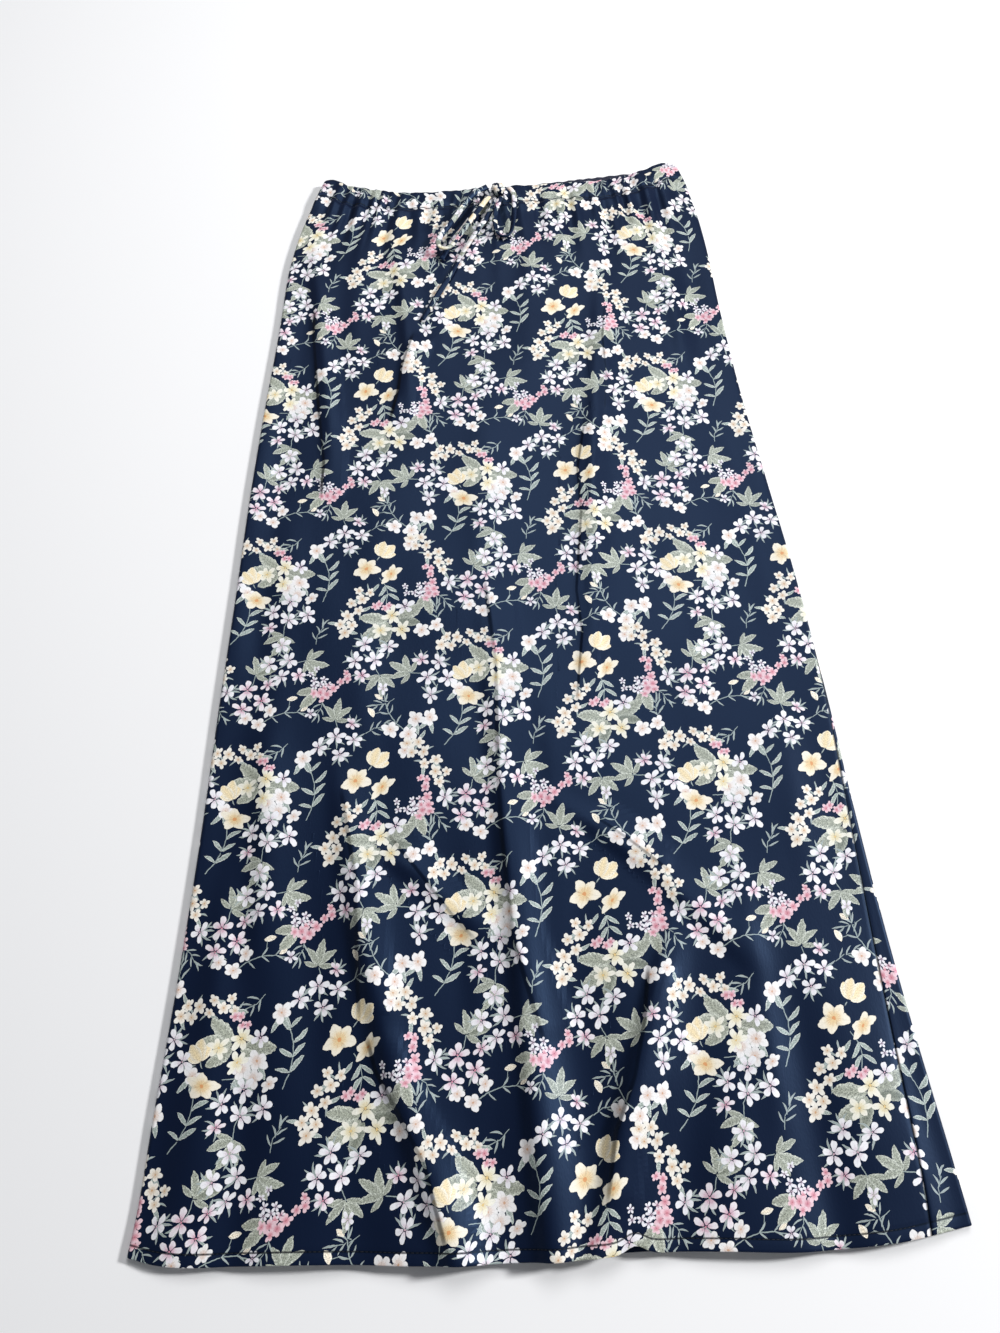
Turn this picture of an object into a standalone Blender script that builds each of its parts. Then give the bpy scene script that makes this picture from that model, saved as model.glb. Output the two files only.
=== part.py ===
"""A satin maxi skirt, laid flat on its back with the hem towards -Y and the waist towards +Y.

The skirt is a tube of two A-line panels. Its section is a flattened loop: the back lies on the
floor, the front lies on the back, and both sides end in a narrow round fold. The tube is turned
a little, so at the right the back panel comes over the fold onto the top, and at the left the
front panel goes under it. Units are metres. Z is up, and the floor is z = 0.
"""
import math
from collections import namedtuple

import bmesh
import bpy
import numpy as np

# ---- driving dimensions ------------------------------------------------------------------
LENGTH = 0.975            # centre front, hem edge to waist edge
PANEL_WALL = 0.0012       # thickness of a panel
CASING_WALL = 0.0024      # two layers of satin with the elastic between them
CASING_DEPTH = 0.024      # waist edge to the casing's stitching
SEAM_GAP = 0.0003         # clearance between neighbouring pieces
LAYER_GAP = 0.0006        # least clearance between the front and the back
REST_WAVE = 0.0006        # soft unevenness of the front where it lies on the back
REST_WAVE_PITCH = 0.115
REST_WAVE_SLANTS = (0.16, 0.3)   # how far the two waves lean, and how long the second one is
REST_WAVE_STRETCH = 0.45

HEM_FLARE_LIFT = 0.0095   # how high the front's flutes stand at the hem
FLARE_REACH = 0.58        # the flutes die out at this height above the hem
FLARE_POWER = 1.25        # above 1 the flutes sink quickly above the hem
WAIST_LIFT = 0.0036       # how far the elastic holds the front off the back
WAIST_REACH = 0.17        # depth of the part that rises to the waist
CORNER_LIFT = 0.0035      # extra rise of the right end of the waist
CORNER_ACROSS = (0.62, 0.97)     # where that rise starts and is whole, from 0 to 1 across
CORNER_DEPTH = 0.10
EDGE_BLEND = 0.026        # width over which a side fold turns into the flat of the panel

GATHERS = 13              # gathers across the front, and as many across the back
GATHER_HEIGHT = 0.0013
GATHER_REACH = 0.16       # the gathers die out this far below the casing
GATHER_SHIFTS = ((7.0, 0.035), (17.0, 0.020))   # uneven spacing: turns across and strength
GATHER_STRENGTH = (0.72, 0.28, 5.3, 1.1)        # uneven height: mean, change, turns, start
UNDER_GATHER_SHARE = 0.6  # the back's gathers are this much of the front's

TIE_RADIUS = 0.0024
TIE_CLEARANCE = 0.0003
KNOT_SIZE = (0.0165, 0.0135, 0.0100)
KNOT_PLACE = (0.0020, 0.9640)
KNOT_SEAT = (0.006, 0.005)       # half the patch of casing that carries the knot
KNOT_SQUARENESS = 0.8            # 1 is an ellipsoid, less is more of a pad

# Rows of the flattened tube. height is along the centre from the hem; left and right are the
# half widths there; roll is how far round its fold each side seam has turned; edge is the
# radius of the side folds.
Section = namedtuple("Section", "height left right roll edge")
SECTIONS = [
    Section(0.000, 0.2830, 0.2815, 0.0310, 0.0021),
    Section(0.030, 0.2785, 0.2785, 0.0270, 0.0021),
    Section(0.100, 0.2730, 0.2712, 0.0205, 0.0021),
    Section(0.200, 0.2635, 0.2615, 0.0125, 0.0022),
    Section(0.300, 0.2555, 0.2545, 0.0065, 0.0023),
    Section(0.400, 0.2492, 0.2492, 0.0025, 0.0024),
    Section(0.500, 0.2424, 0.2420, 0.0000, 0.0024),
    Section(0.600, 0.2360, 0.2315, 0.0000, 0.0024),
    Section(0.700, 0.2275, 0.2212, 0.0000, 0.0024),
    Section(0.800, 0.2172, 0.2142, 0.0000, 0.0025),
    Section(0.860, 0.2118, 0.2115, 0.0000, 0.0027),
    Section(0.900, 0.2038, 0.2080, 0.0000, 0.0029),
    Section(0.930, 0.1950, 0.2035, 0.0000, 0.0031),
    Section(0.951, 0.1878, 0.1990, 0.0000, 0.0033),
    Section(0.975, 0.1790, 0.1925, 0.0000, 0.0034),
]

# The hem and the waist aren't straight lines. across is the place from -1 (left) to 1 (right),
# hem is how far the hem stands above its nominal line there, and the last two columns are how
# far the waist edge of the front and of the back stand above theirs.
EdgeLine = namedtuple("EdgeLine", "across hem front_waist back_waist")
EDGE_LINES = [
    EdgeLine(-1.00, 0.0135, 0.0160, 0.0160),
    EdgeLine(-0.94, 0.0092, 0.0170, 0.0190),
    EdgeLine(-0.85, 0.0066, 0.0080, 0.0120),
    EdgeLine(-0.60, 0.0055, -0.0030, 0.0030),
    EdgeLine(-0.30, 0.0016, -0.0035, 0.0010),
    EdgeLine(0.00, 0.0006, 0.0000, 0.0040),
    EdgeLine(0.20, 0.0026, 0.0010, 0.0080),
    EdgeLine(0.38, 0.0020, 0.0030, 0.0120),
    EdgeLine(0.60, -0.0010, 0.0068, 0.0170),
    EdgeLine(0.80, 0.0014, 0.0150, 0.0215),
    EdgeLine(0.93, 0.0062, 0.0260, 0.0285),
    EdgeLine(1.00, 0.0092, 0.0225, 0.0235),
]
HEM_LINE_REACH = 0.17     # the rows forget the hem's line over this height
WAIST_LINE_REACH = 0.24   # and the waist's line over this depth

# A short pull in the front's hem, where the back shows under it.
HEM_PULL_X = 0.054
HEM_PULL_HEIGHT = 0.0050
HEM_PULL_HALF_WIDTH = 0.0085

# Troughs of the front, each from its top to its foot. bow moves its middle sideways, and depth
# is the part of the lift that the trough takes away.
Crease = namedtuple("Crease", "name top_x top foot_x foot bow half_width depth")
CREASES = [
    Crease("left of the centre", -0.075, 0.380, -0.030, -0.020, 0.000, 0.0200, 0.42),
    Crease("right of the centre", 0.032, 0.300, 0.030, -0.020, 0.000, 0.0180, 0.40),
    Crease("left", -0.180, 0.340, -0.122, -0.020, -0.006, 0.0240, 0.45),
    Crease("right", 0.128, 0.215, 0.078, -0.020, 0.004, 0.0160, 0.38),
    Crease("far right", 0.176, 0.240, 0.190, -0.020, 0.004, 0.0170, 0.52),
    Crease("far left", -0.222, 0.300, -0.214, -0.020, 0.004, 0.0150, 0.45),
]

# Folds that stand on the front, from end to end: steep on their left and easy on their right,
# with their height. rise is the share of the length over which each rises, and kept is the
# share of its height that it has at its foot.
Ridge = namedtuple("Ridge", "name top_x top foot_x foot bow left right height rise kept")
RIDGES = [
    Ridge("centre", -0.034, 0.590, 0.000, -0.020, -0.002, 0.0078, 0.0180, 0.0068, 0.75, 1.0),
    Ridge("left diagonal", -0.155, 0.400, -0.056, -0.020, -0.018, 0.0085, 0.0190, 0.0066, 0.50, 1.0),
    Ridge("right diagonal", 0.118, 0.250, 0.022, -0.020, -0.005, 0.0072, 0.0170, 0.0068, 0.35, 1.0),
    Ridge("right drag", 0.000, 0.330, 0.172, 0.160, 0.015, 0.0060, 0.0150, 0.0030, 0.35, 0.0),
    Ridge("left drag", -0.126, 0.292, -0.030, 0.198, 0.002, 0.0060, 0.0140, 0.0030, 0.35, 0.0),
    Ridge("far left", -0.210, 0.390, -0.208, 0.170, 0.004, 0.0090, 0.0200, 0.0036, 0.30, 0.0),
    Ridge("left side", -0.194, 0.930, -0.160, 0.600, 0.003, 0.0065, 0.0110, 0.0028, 0.30, 0.0),
    Ridge("left of the tie", -0.108, 0.920, -0.092, 0.670, 0.005, 0.0060, 0.0110, 0.0028, 0.30, 0.0),
    Ridge("long right", 0.107, 0.900, 0.058, 0.370, -0.006, 0.0070, 0.0130, 0.0028, 0.30, 0.0),
    Ridge("right side", 0.160, 0.930, 0.172, 0.700, 0.004, 0.0080, 0.0120, 0.0024, 0.30, 0.0),
]

CREASE_FADE = 0.45        # share of a trough over which it grows from its top
RIDGE_FALL = 0.65         # a ridge begins to fall to its foot at this share of its length

# Grid of each panel: columns over the flat run, round the wrapping fold and on its flap.
RUN_COLUMNS_FRONT = 72
RUN_COLUMNS_BACK = 26
FOLD_COLUMNS = 6
FLAP_COLUMNS = 2
BUTT_COLUMNS = 4
SEAM_STEP = 0.0003        # short last column, so that both walls end square to the fold
FLAP_LEAST = 0.0012       # shortest flap, and how far the fold's columns run past it
FOLD_MARGINS = (0.0006, 0.0010)
PANEL_ROWS = 25
CASING_ROWS = 2
ROW_CROWDING = 0.35       # 0 spaces the rows evenly, 1 crowds them at hem and waist

# ---- cloth -------------------------------------------------------------------------------

TOP, UNDER = 1, -1
LEFT, RIGHT = -1, 1


def column(table, name):
    return [getattr(row, name) for row in table]


def smooth(value, low, high):
    """0 below low, 1 above high and an even S curve between them."""
    part = min(max((value - low) / (high - low), 0.0), 1.0)
    return part * part * (3.0 - 2.0 * part)


def curve_through(table, key, name, value):
    """Monotone reading of a table's column, with rounded steps between its rows."""
    keys = column(table, key)
    values = column(table, name)
    value = min(max(value, keys[0]), keys[-1])
    row = max(i for i in range(len(keys) - 1) if keys[i] <= value)

    def slope(i):
        if i == 0 or i == len(keys) - 1:
            j = min(i, len(keys) - 2)
            return (values[j + 1] - values[j]) / (keys[j + 1] - keys[j])
        return (values[i + 1] - values[i - 1]) / (keys[i + 1] - keys[i - 1])

    step = keys[row + 1] - keys[row]
    t = (value - keys[row]) / step
    rise = values[row + 1] - values[row]
    start = slope(row) * step
    end = slope(row + 1) * step
    return (values[row] + t * start + t * t * (3 * rise - 2 * start - end)
            + t * t * t * (start + end - 2 * rise))


def section_at(height):
    names = Section._fields[1:]
    return Section(height, *(curve_through(SECTIONS, "height", n, height) for n in names))


def half_width(section, side):
    return section.left if side == LEFT else section.right


def centre_line_distance(fold, x, height):
    """Distance from a fold's line, and the place along it from 0 (top) to 1 (foot)."""
    along = (fold.top - height) / (fold.top - fold.foot)
    line_x = fold.top_x + (fold.foot_x - fold.top_x) * along + fold.bow * 4 * along * (1 - along)
    slant = math.atan2(fold.foot_x - fold.top_x, fold.top - fold.foot)
    return (x - line_x) * math.cos(slant), along


def bell(distance, half_width_):
    return math.exp(-(distance / half_width_) ** 2)


def crease_share(x, height):
    """How much of the lift the creases leave at a place."""
    share = 1.0
    for crease in CREASES:
        distance, along = centre_line_distance(crease, x, height)
        fade = smooth(along, 0.0, CREASE_FADE)
        share *= 1.0 - crease.depth * fade * bell(distance, crease.half_width)
    return share


def ridge_height(x, height):
    total = 0.0
    for ridge in RIDGES:
        distance, along = centre_line_distance(ridge, x, height)
        fall = (1.0 - ridge.kept) * smooth(along, RIDGE_FALL, 1.0)
        fade = smooth(along, 0.0, ridge.rise) * (1.0 - fall)
        total += ridge.height * fade * bell(distance, ridge.left if distance < 0 else ridge.right)
    return total


def gathers_at(across, height):
    """Gathers of the elastic, uneven in spacing and height, from 0 to GATHER_HEIGHT."""
    casing_line = LENGTH - CASING_DEPTH
    fade = smooth(height, casing_line - GATHER_REACH, casing_line)
    shift = sum(strength * math.sin(turns * across) for turns, strength in GATHER_SHIFTS)
    mean, change, turns, start = GATHER_STRENGTH
    uneven = mean + change * math.sin(turns * across + start)
    wave = 0.5 + 0.5 * math.cos(math.pi * GATHERS * (across + shift))
    return GATHER_HEIGHT * fade * uneven * wave


def front_height(x, height, section):
    """Height of the front's middle surface above the middle surface of the back."""
    side = RIGHT if x > 0 else LEFT
    across = x / half_width(section, side)
    inward = max(half_width(section, side) - abs(x) - section.edge, 0.0)
    flare = max(1.0 - height / FLARE_REACH, 0.0) ** FLARE_POWER
    arch = math.sqrt(max(1.0 - across ** 4, 0.0))
    lift = HEM_FLARE_LIFT * flare * arch * crease_share(x, height)
    lift += WAIST_LIFT * smooth(height, LENGTH - WAIST_REACH, LENGTH - CASING_DEPTH)
    lift += CORNER_LIFT * smooth(across, *CORNER_ACROSS) * smooth(height, LENGTH - CORNER_DEPTH, LENGTH)
    lift += ridge_height(x, height) + gathers_at(across, height)
    turn = 2 * math.pi / REST_WAVE_PITCH
    wave = math.sin(turn * (x + REST_WAVE_SLANTS[0] * height))
    wave *= math.cos(REST_WAVE_STRETCH * turn * (height - REST_WAVE_SLANTS[1] * x))
    flat = PANEL_WALL + LAYER_GAP + lift + REST_WAVE * (1 + wave)
    return 2 * section.edge + (flat - 2 * section.edge) * smooth(inward, 0.0, EDGE_BLEND)


def row_height(x, height, section, layer):
    """Where a row of the cloth lies along Y, with the lines of the hem and the waist in it."""
    side = RIGHT if x > 0 else LEFT
    across = x / half_width(section, side)
    waist = curve_through(EDGE_LINES, "across", "front_waist", across)
    if layer == UNDER:
        waist = curve_through(EDGE_LINES, "across", "back_waist", across)
    hem = curve_through(EDGE_LINES, "across", "hem", across)
    if layer == TOP:
        hem += HEM_PULL_HEIGHT * bell(x - HEM_PULL_X, HEM_PULL_HALF_WIDTH)
    near_hem = 1.0 - smooth(height, 0.0, HEM_LINE_REACH)
    near_waist = smooth(height, LENGTH - WAIST_LINE_REACH, LENGTH)
    return height + hem * near_hem + waist * near_waist


def tube_point(side, reach, section, wall):
    """A point of the flattened tube. reach is measured round the fold of one side from its
    outermost line: positive onto the top, negative onto the underside."""
    edge = section.edge
    quarter = math.pi * edge / 2
    outer = half_width(section, side) - edge
    if abs(reach) <= quarter:
        turn = reach / edge
        x = side * (outer + edge * math.cos(turn))
        z = wall / 2 + edge * (1 + math.sin(turn))
    else:
        x = side * (outer - abs(reach) + quarter)
        z = wall / 2
        if reach > 0:
            z += front_height(x, section.height, section)
    layer = TOP if reach > 0 else UNDER
    return x, z, layer


def half_gap(section, wall):
    """Half of a side seam's gap on the middle surface, which leaves SEAM_GAP inside the fold."""
    return SEAM_GAP / 2 * section.edge / (section.edge - wall / 2)


def wrap_end(section, wall):
    """Reaches from a seam, round the fold, to the flat: the end that wraps round a side."""
    quarter = math.pi * section.edge / 2
    seam = -section.roll + half_gap(section, wall)
    fold_start = max(seam + FLAP_LEAST, -quarter - FOLD_MARGINS[0])
    fold_end = quarter + FOLD_MARGINS[1]
    flap = [seam] + list(np.linspace(seam + SEAM_STEP, fold_start, FLAP_COLUMNS + 1)[:-1])
    fold = np.linspace(fold_start, fold_end, FOLD_COLUMNS + 1)
    return flap + list(fold)


def butt_end(section, wall):
    """Reaches from the flat to a seam: the end that meets the other panel's flap."""
    quarter = math.pi * section.edge / 2
    seam = section.roll + half_gap(section, wall)
    flat = seam + quarter + FOLD_MARGINS[1]
    return [seam] + list(np.linspace(seam + SEAM_STEP, flat, BUTT_COLUMNS + 1))


def panel_row(section, wall, face, run_columns):
    """Points across a panel. face is TOP for the front, whose left end wraps under, and UNDER
    for the back, whose right end wraps over."""
    wrap_side = LEFT if face == TOP else RIGHT
    wrap_reaches = [reach * face for reach in wrap_end(section, wall)]
    butt_reaches = [reach * face for reach in butt_end(section, wall)]
    wrap = [tube_point(wrap_side, reach, section, wall) for reach in wrap_reaches]
    butt = [tube_point(-wrap_side, reach, section, wall) for reach in butt_reaches]
    butt.reverse()
    start, end = wrap[-1][0], butt[0][0]
    run = []
    for x in np.linspace(start, end, run_columns + 1)[1:-1]:
        z = wall / 2
        if face == TOP:
            z += front_height(x, section.height, section)
        run.append((x, z, face))
    points = []
    for x, z, layer in wrap + run + butt:
        points.append((x, row_height(x, section.height, section, layer), z))
    return points


def crowded(part):
    """Moves the rows towards the hem and the waist."""
    return part - ROW_CROWDING * math.sin(2 * math.pi * part) / (2 * math.pi)


def grid_object(name, rows, wall, material, collection):
    """A cloth piece: a grid moved onto its rows of points and thickened about its middle."""
    mesh = bpy.data.meshes.new(name)
    work = bmesh.new()
    columns = len(rows[0]) - 1
    bmesh.ops.create_grid(work, x_segments=columns, y_segments=len(rows) - 1, size=1.0)
    for vert in work.verts:
        i = round((vert.co.x + 1) / 2 * columns)
        j = round((vert.co.y + 1) / 2 * (len(rows) - 1))
        vert.co = rows[j][i]
    work.to_mesh(mesh)
    work.free()
    mesh.shade_smooth()
    mesh.materials.append(material)
    piece = bpy.data.objects.new(name, mesh)
    collection.objects.link(piece)
    thick = piece.modifiers.new("Wall", "SOLIDIFY")
    thick.thickness = wall
    thick.offset = 0.0
    thick.use_even_offset = True
    thick.use_quality_normals = True
    return piece


def panel_rows(face, wall, low, high, count, run_columns):
    rows = []
    for i in range(count + 1):
        height = low + (high - low) * crowded(i / count)
        rows.append(panel_row(section_at(height), wall, face, run_columns))
    return rows


def casing_rows(face, run_columns):
    """The casing of one half: a thicker wall on the same lines, with its own gathers."""
    rows = []
    low = LENGTH - CASING_DEPTH + SEAM_GAP / 2
    for i in range(CASING_ROWS + 1):
        height = low + (LENGTH - low) * i / CASING_ROWS
        section = section_at(height)
        row = panel_row(section, CASING_WALL, face, run_columns)
        if face == UNDER:
            row = [(x, y, z + under_gather(x, section, z)) for x, y, z in row]
        rows.append(row)
    return rows


def under_gather(x, section, z):
    """Gathers of the back half, which leave the floor a little between their feet."""
    side = RIGHT if x > 0 else LEFT
    inward = half_width(section, side) - abs(x) - section.edge
    on_floor = smooth(inward, 0.0, EDGE_BLEND) if z < CASING_WALL else 0.0
    return UNDER_GATHER_SHARE * gathers_at(-x / half_width(section, side), LENGTH) * on_floor


# ---- tie ---------------------------------------------------------------------------------

def cloth_top(x, height):
    """Height of the front's outer surface at a place, on the panel or on the casing."""
    section = section_at(min(height, LENGTH))
    on_casing = height > LENGTH - CASING_DEPTH - CASING_STEP_MARGIN
    wall = CASING_WALL if on_casing else PANEL_WALL
    return wall + front_height(x, min(height, LENGTH), section)


def curve_route(points, count):
    """Points at even steps on a smooth curve through the given ones."""
    given = np.array(points, float)
    ends = np.vstack([2 * given[0] - given[1], given, 2 * given[-1] - given[-2]])
    fine = []
    for i in range(len(given) - 1):
        p0, p1, p2, p3 = ends[i:i + 4]
        for t in np.linspace(0.0, 1.0, ROUTE_FINENESS, endpoint=False):
            fine.append(0.5 * (2 * p1 + (p2 - p0) * t + (2 * p0 - 5 * p1 + 4 * p2 - p3) * t ** 2
                               + (3 * p1 - p0 - 3 * p2 + p3) * t ** 3))
    fine.append(given[-1])
    fine = np.array(fine)
    run = np.concatenate([[0.0], np.cumsum(np.linalg.norm(np.diff(fine, axis=0), axis=1))])
    marks = np.linspace(0.0, run[-1], count)
    return np.stack([np.interp(marks, run, fine[:, k]) for k in range(3)], axis=1)


# Routes of the tie on the front: x, height above the hem, and how far the strand's underside
# stands off the cloth.
StrandPoint = namedtuple("StrandPoint", "x height stand_off")
LEFT_LOOP = [
    StrandPoint(-0.0090, 0.9665, 0.0050),
    StrandPoint(-0.0230, 0.9550, 0.0060),
    StrandPoint(-0.0375, 0.9350, 0.0062),
    StrandPoint(-0.0500, 0.9130, 0.0064),
    StrandPoint(-0.0592, 0.8985, 0.0064),
    StrandPoint(-0.0612, 0.8895, 0.0064),
    StrandPoint(-0.0560, 0.8842, 0.0064),
    StrandPoint(-0.0485, 0.8872, 0.0064),
    StrandPoint(-0.0390, 0.9020, 0.0062),
    StrandPoint(-0.0250, 0.9250, 0.0060),
    StrandPoint(-0.0140, 0.9430, 0.0058),
    StrandPoint(-0.0075, 0.9530, 0.0056),
]
RIGHT_LOOP = [
    StrandPoint(0.0125, 0.9650, 0.0050),
    StrandPoint(0.0178, 0.9560, 0.0050),
    StrandPoint(0.0178, 0.9400, 0.0030),
    StrandPoint(0.0162, 0.9240, 0.0012),
    StrandPoint(0.0125, 0.9090, 0.0008),
    StrandPoint(0.0058, 0.9035, 0.0008),
    StrandPoint(-0.0010, 0.9090, 0.0008),
    StrandPoint(-0.0028, 0.9240, 0.0014),
    StrandPoint(-0.0003, 0.9390, 0.0040),
    StrandPoint(0.0050, 0.9520, 0.0056),
]
SHORT_TAIL = [
    StrandPoint(-0.0078, 0.9560, 0.0003),
    StrandPoint(-0.0200, 0.9420, 0.0003),
    StrandPoint(-0.0350, 0.9175, 0.0003),
    StrandPoint(-0.0480, 0.8975, 0.0003),
    StrandPoint(-0.0585, 0.8760, 0.0003),
]
LONG_TAIL = [
    StrandPoint(-0.0005, 0.9530, 0.0003),
    StrandPoint(-0.0100, 0.9320, 0.0003),
    StrandPoint(-0.0240, 0.9080, 0.0003),
    StrandPoint(-0.0380, 0.8820, 0.0003),
    StrandPoint(-0.0500, 0.8560, 0.0003),
    StrandPoint(-0.0640, 0.8300, 0.0003),
    StrandPoint(-0.0790, 0.8010, 0.0003),
]
SEAT_SMOOTHING = 3
TIE_SPACING = 0.0045      # points along a strand
TIE_LEAST_POINTS = 8
ROUTE_FINENESS = 40       # steps between two given points while a route is read
CASING_STEP_MARGIN = 0.004       # a strand rises onto the casing this far below its edge


def strand_route(points):
    """A strand's route: its own height where it stands off, and on the cloth elsewhere."""
    route = []
    for point in points:
        z = cloth_top(point.x, point.height) + point.stand_off + TIE_RADIUS
        route.append((point.x, point.height, z))
    length = sum(math.dist(a, b) for a, b in zip(route, route[1:]))
    steps = curve_route(route, max(TIE_LEAST_POINTS, round(length / TIE_SPACING)))
    seat = []
    for x, height, _ in steps:
        under = [cloth_top(x + dx, height + dy)
                 for dx in (-TIE_RADIUS, 0.0, TIE_RADIUS)
                 for dy in (-TIE_RADIUS, 0.0, TIE_RADIUS)]
        seat.append(max(under) + TIE_CLEARANCE + TIE_RADIUS)
    z = np.maximum(steps[:, 2], seat)
    for _ in range(SEAT_SMOOTHING):
        padded = np.concatenate([z[:1], z, z[-1:]])
        z = np.maximum((padded[:-2] + 2 * z + padded[2:]) / 4, seat)
    return [(x, height, z[i]) for i, (x, height, _) in enumerate(steps)]


def strand_object(name, points, material, collection):
    data = bpy.data.curves.new(name, "CURVE")
    data.dimensions = "3D"
    data.bevel_depth = TIE_RADIUS
    data.bevel_resolution = 2
    data.use_fill_caps = True
    route = strand_route(points)
    spline = data.splines.new("POLY")
    spline.points.add(len(route) - 1)
    for point, place in zip(spline.points, route):
        point.co = (place[0], place[1], place[2], 1.0)
    data.materials.append(material)
    strand = bpy.data.objects.new(name, data)
    collection.objects.link(strand)
    return strand


def knot_object(name, material, collection):
    """The knot of the bow: a rounded pad that sits on the casing."""
    mesh = bpy.data.meshes.new(name)
    work = bmesh.new()
    bmesh.ops.create_uvsphere(work, u_segments=16, v_segments=10, radius=0.5)
    for vert in work.verts:
        for axis in range(3):
            place = vert.co[axis]
            padded = 0.5 * (2 * abs(place)) ** KNOT_SQUARENESS
            vert.co[axis] = math.copysign(padded, place) * KNOT_SIZE[axis]
    work.to_mesh(mesh)
    work.free()
    mesh.shade_smooth()
    mesh.materials.append(material)
    knot = bpy.data.objects.new(name, mesh)
    x, height = KNOT_PLACE
    least = max(cloth_top(x + dx * KNOT_SEAT[0], height + dy * KNOT_SEAT[1])
                for dx in (-1, 0, 1) for dy in (-1, 0, 1))
    knot.location = (x, height, least + TIE_CLEARANCE + KNOT_SIZE[2] / 2)
    collection.objects.link(knot)
    return knot


# ---- materials and assembly ----------------------------------------------------------------

def satin(name, colour, roughness):
    material = bpy.data.materials.new(name)
    material.use_nodes = True
    shader = material.node_tree.nodes["Principled BSDF"]
    shader.inputs["Base Color"].default_value = (*colour, 1.0)
    shader.inputs["Roughness"].default_value = roughness
    shader.inputs["Metallic"].default_value = 0.0
    material.diffuse_color = (*colour, 1.0)
    return material


def centre_on_origin(pieces):
    """Moves the whole skirt so that the middle of its floor box is the origin."""
    bpy.context.view_layer.update()
    depsgraph = bpy.context.evaluated_depsgraph_get()
    low = np.full(3, np.inf)
    high = np.full(3, -np.inf)
    for piece in pieces:
        evaluated = piece.evaluated_get(depsgraph)
        mesh = evaluated.to_mesh()
        for vert in mesh.vertices:
            place = np.array(evaluated.matrix_world @ vert.co)
            low = np.minimum(low, place)
            high = np.maximum(high, place)
        evaluated.to_mesh_clear()
    for piece in pieces:
        piece.location.x -= (low[0] + high[0]) / 2
        piece.location.y -= (low[1] + high[1]) / 2


def main():
    for old in list(bpy.data.objects):
        bpy.data.objects.remove(old, do_unlink=True)
    skirt = bpy.data.collections.new("maxi_skirt")
    bpy.context.scene.collection.children.link(skirt)

    casing_line = LENGTH - CASING_DEPTH
    panel_top = casing_line - SEAM_GAP / 2
    front_satin = satin("front satin", (0.022, 0.036, 0.085), 0.42)
    back_satin = satin("back satin", (0.020, 0.032, 0.076), 0.45)
    casing_satin = satin("casing satin", (0.024, 0.038, 0.088), 0.48)
    back_casing_satin = satin("back casing satin", (0.016, 0.022, 0.048), 0.50)
    tie_satin = satin("tie satin", (0.030, 0.040, 0.080), 0.40)

    cloth = [
        grid_object("back_panel",
                    panel_rows(UNDER, PANEL_WALL, 0.0, panel_top, PANEL_ROWS, RUN_COLUMNS_BACK),
                    PANEL_WALL, back_satin, skirt),
        grid_object("front_panel",
                    panel_rows(TOP, PANEL_WALL, 0.0, panel_top, PANEL_ROWS, RUN_COLUMNS_FRONT),
                    PANEL_WALL, front_satin, skirt),
        grid_object("back_casing", casing_rows(UNDER, RUN_COLUMNS_BACK),
                    CASING_WALL, back_casing_satin, skirt),
        grid_object("front_casing", casing_rows(TOP, RUN_COLUMNS_FRONT),
                    CASING_WALL, casing_satin, skirt),
    ]
    tie = [
        knot_object("tie_knot", tie_satin, skirt),
        strand_object("tie_loop_left", LEFT_LOOP, tie_satin, skirt),
        strand_object("tie_loop_right", RIGHT_LOOP, tie_satin, skirt),
        strand_object("tie_tail_short", SHORT_TAIL, tie_satin, skirt),
        strand_object("tie_tail_long", LONG_TAIL, tie_satin, skirt),
    ]
    centre_on_origin(cloth + tie)


main()
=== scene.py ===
import math

import bpy
import numpy as np
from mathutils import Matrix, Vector


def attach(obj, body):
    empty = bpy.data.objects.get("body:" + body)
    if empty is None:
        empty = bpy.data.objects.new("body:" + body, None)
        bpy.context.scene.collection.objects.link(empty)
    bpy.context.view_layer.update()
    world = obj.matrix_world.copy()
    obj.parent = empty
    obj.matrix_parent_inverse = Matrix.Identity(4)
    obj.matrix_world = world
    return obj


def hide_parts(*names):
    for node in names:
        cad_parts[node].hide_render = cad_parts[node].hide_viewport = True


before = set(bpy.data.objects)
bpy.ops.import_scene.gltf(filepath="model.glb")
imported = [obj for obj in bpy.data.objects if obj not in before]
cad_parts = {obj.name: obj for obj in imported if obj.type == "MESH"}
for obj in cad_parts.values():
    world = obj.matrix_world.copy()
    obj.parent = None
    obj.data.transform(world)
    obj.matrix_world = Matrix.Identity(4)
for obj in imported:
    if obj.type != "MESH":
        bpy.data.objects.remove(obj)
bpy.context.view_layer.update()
print("frame loaded:", len(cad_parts), "nodes")

# The camera is a phone held over the hem, tilted towards the waist.
cameraPlan = {
    "place": (-0.0309, -0.4011, 0.7695),
    "tiltFromDown": 23.4,     # degrees
    "yaw": 2.369,
    "lens": 27.03, "longSide": 36.0,
    "clip": (0.02, 20.0),
}


def makeCamera(plan):
    tilt = math.radians(plan["tiltFromDown"])
    yaw = math.radians(plan["yaw"])
    look = Vector((math.sin(tilt) * math.sin(yaw), math.sin(tilt) * math.cos(yaw), -math.cos(tilt)))
    data = bpy.data.cameras.new("camera")
    data.sensor_width = plan["longSide"]
    data.lens = plan["lens"]
    data.clip_start, data.clip_end = plan["clip"]
    camera = bpy.data.objects.new("camera", data)
    camera.location = plan["place"]
    camera.rotation_mode = "QUATERNION"
    camera.rotation_quaternion = look.to_track_quat("-Z", "Y")
    bpy.context.scene.collection.objects.link(camera)
    bpy.context.scene.camera = camera


makeCamera(cameraPlan)
print("camera placed")

# The form of the skirt, by the same named values as the solids.
shift = np.array([0.000748, -0.500887])     # from the centre of the hem to the frame's origin

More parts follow.
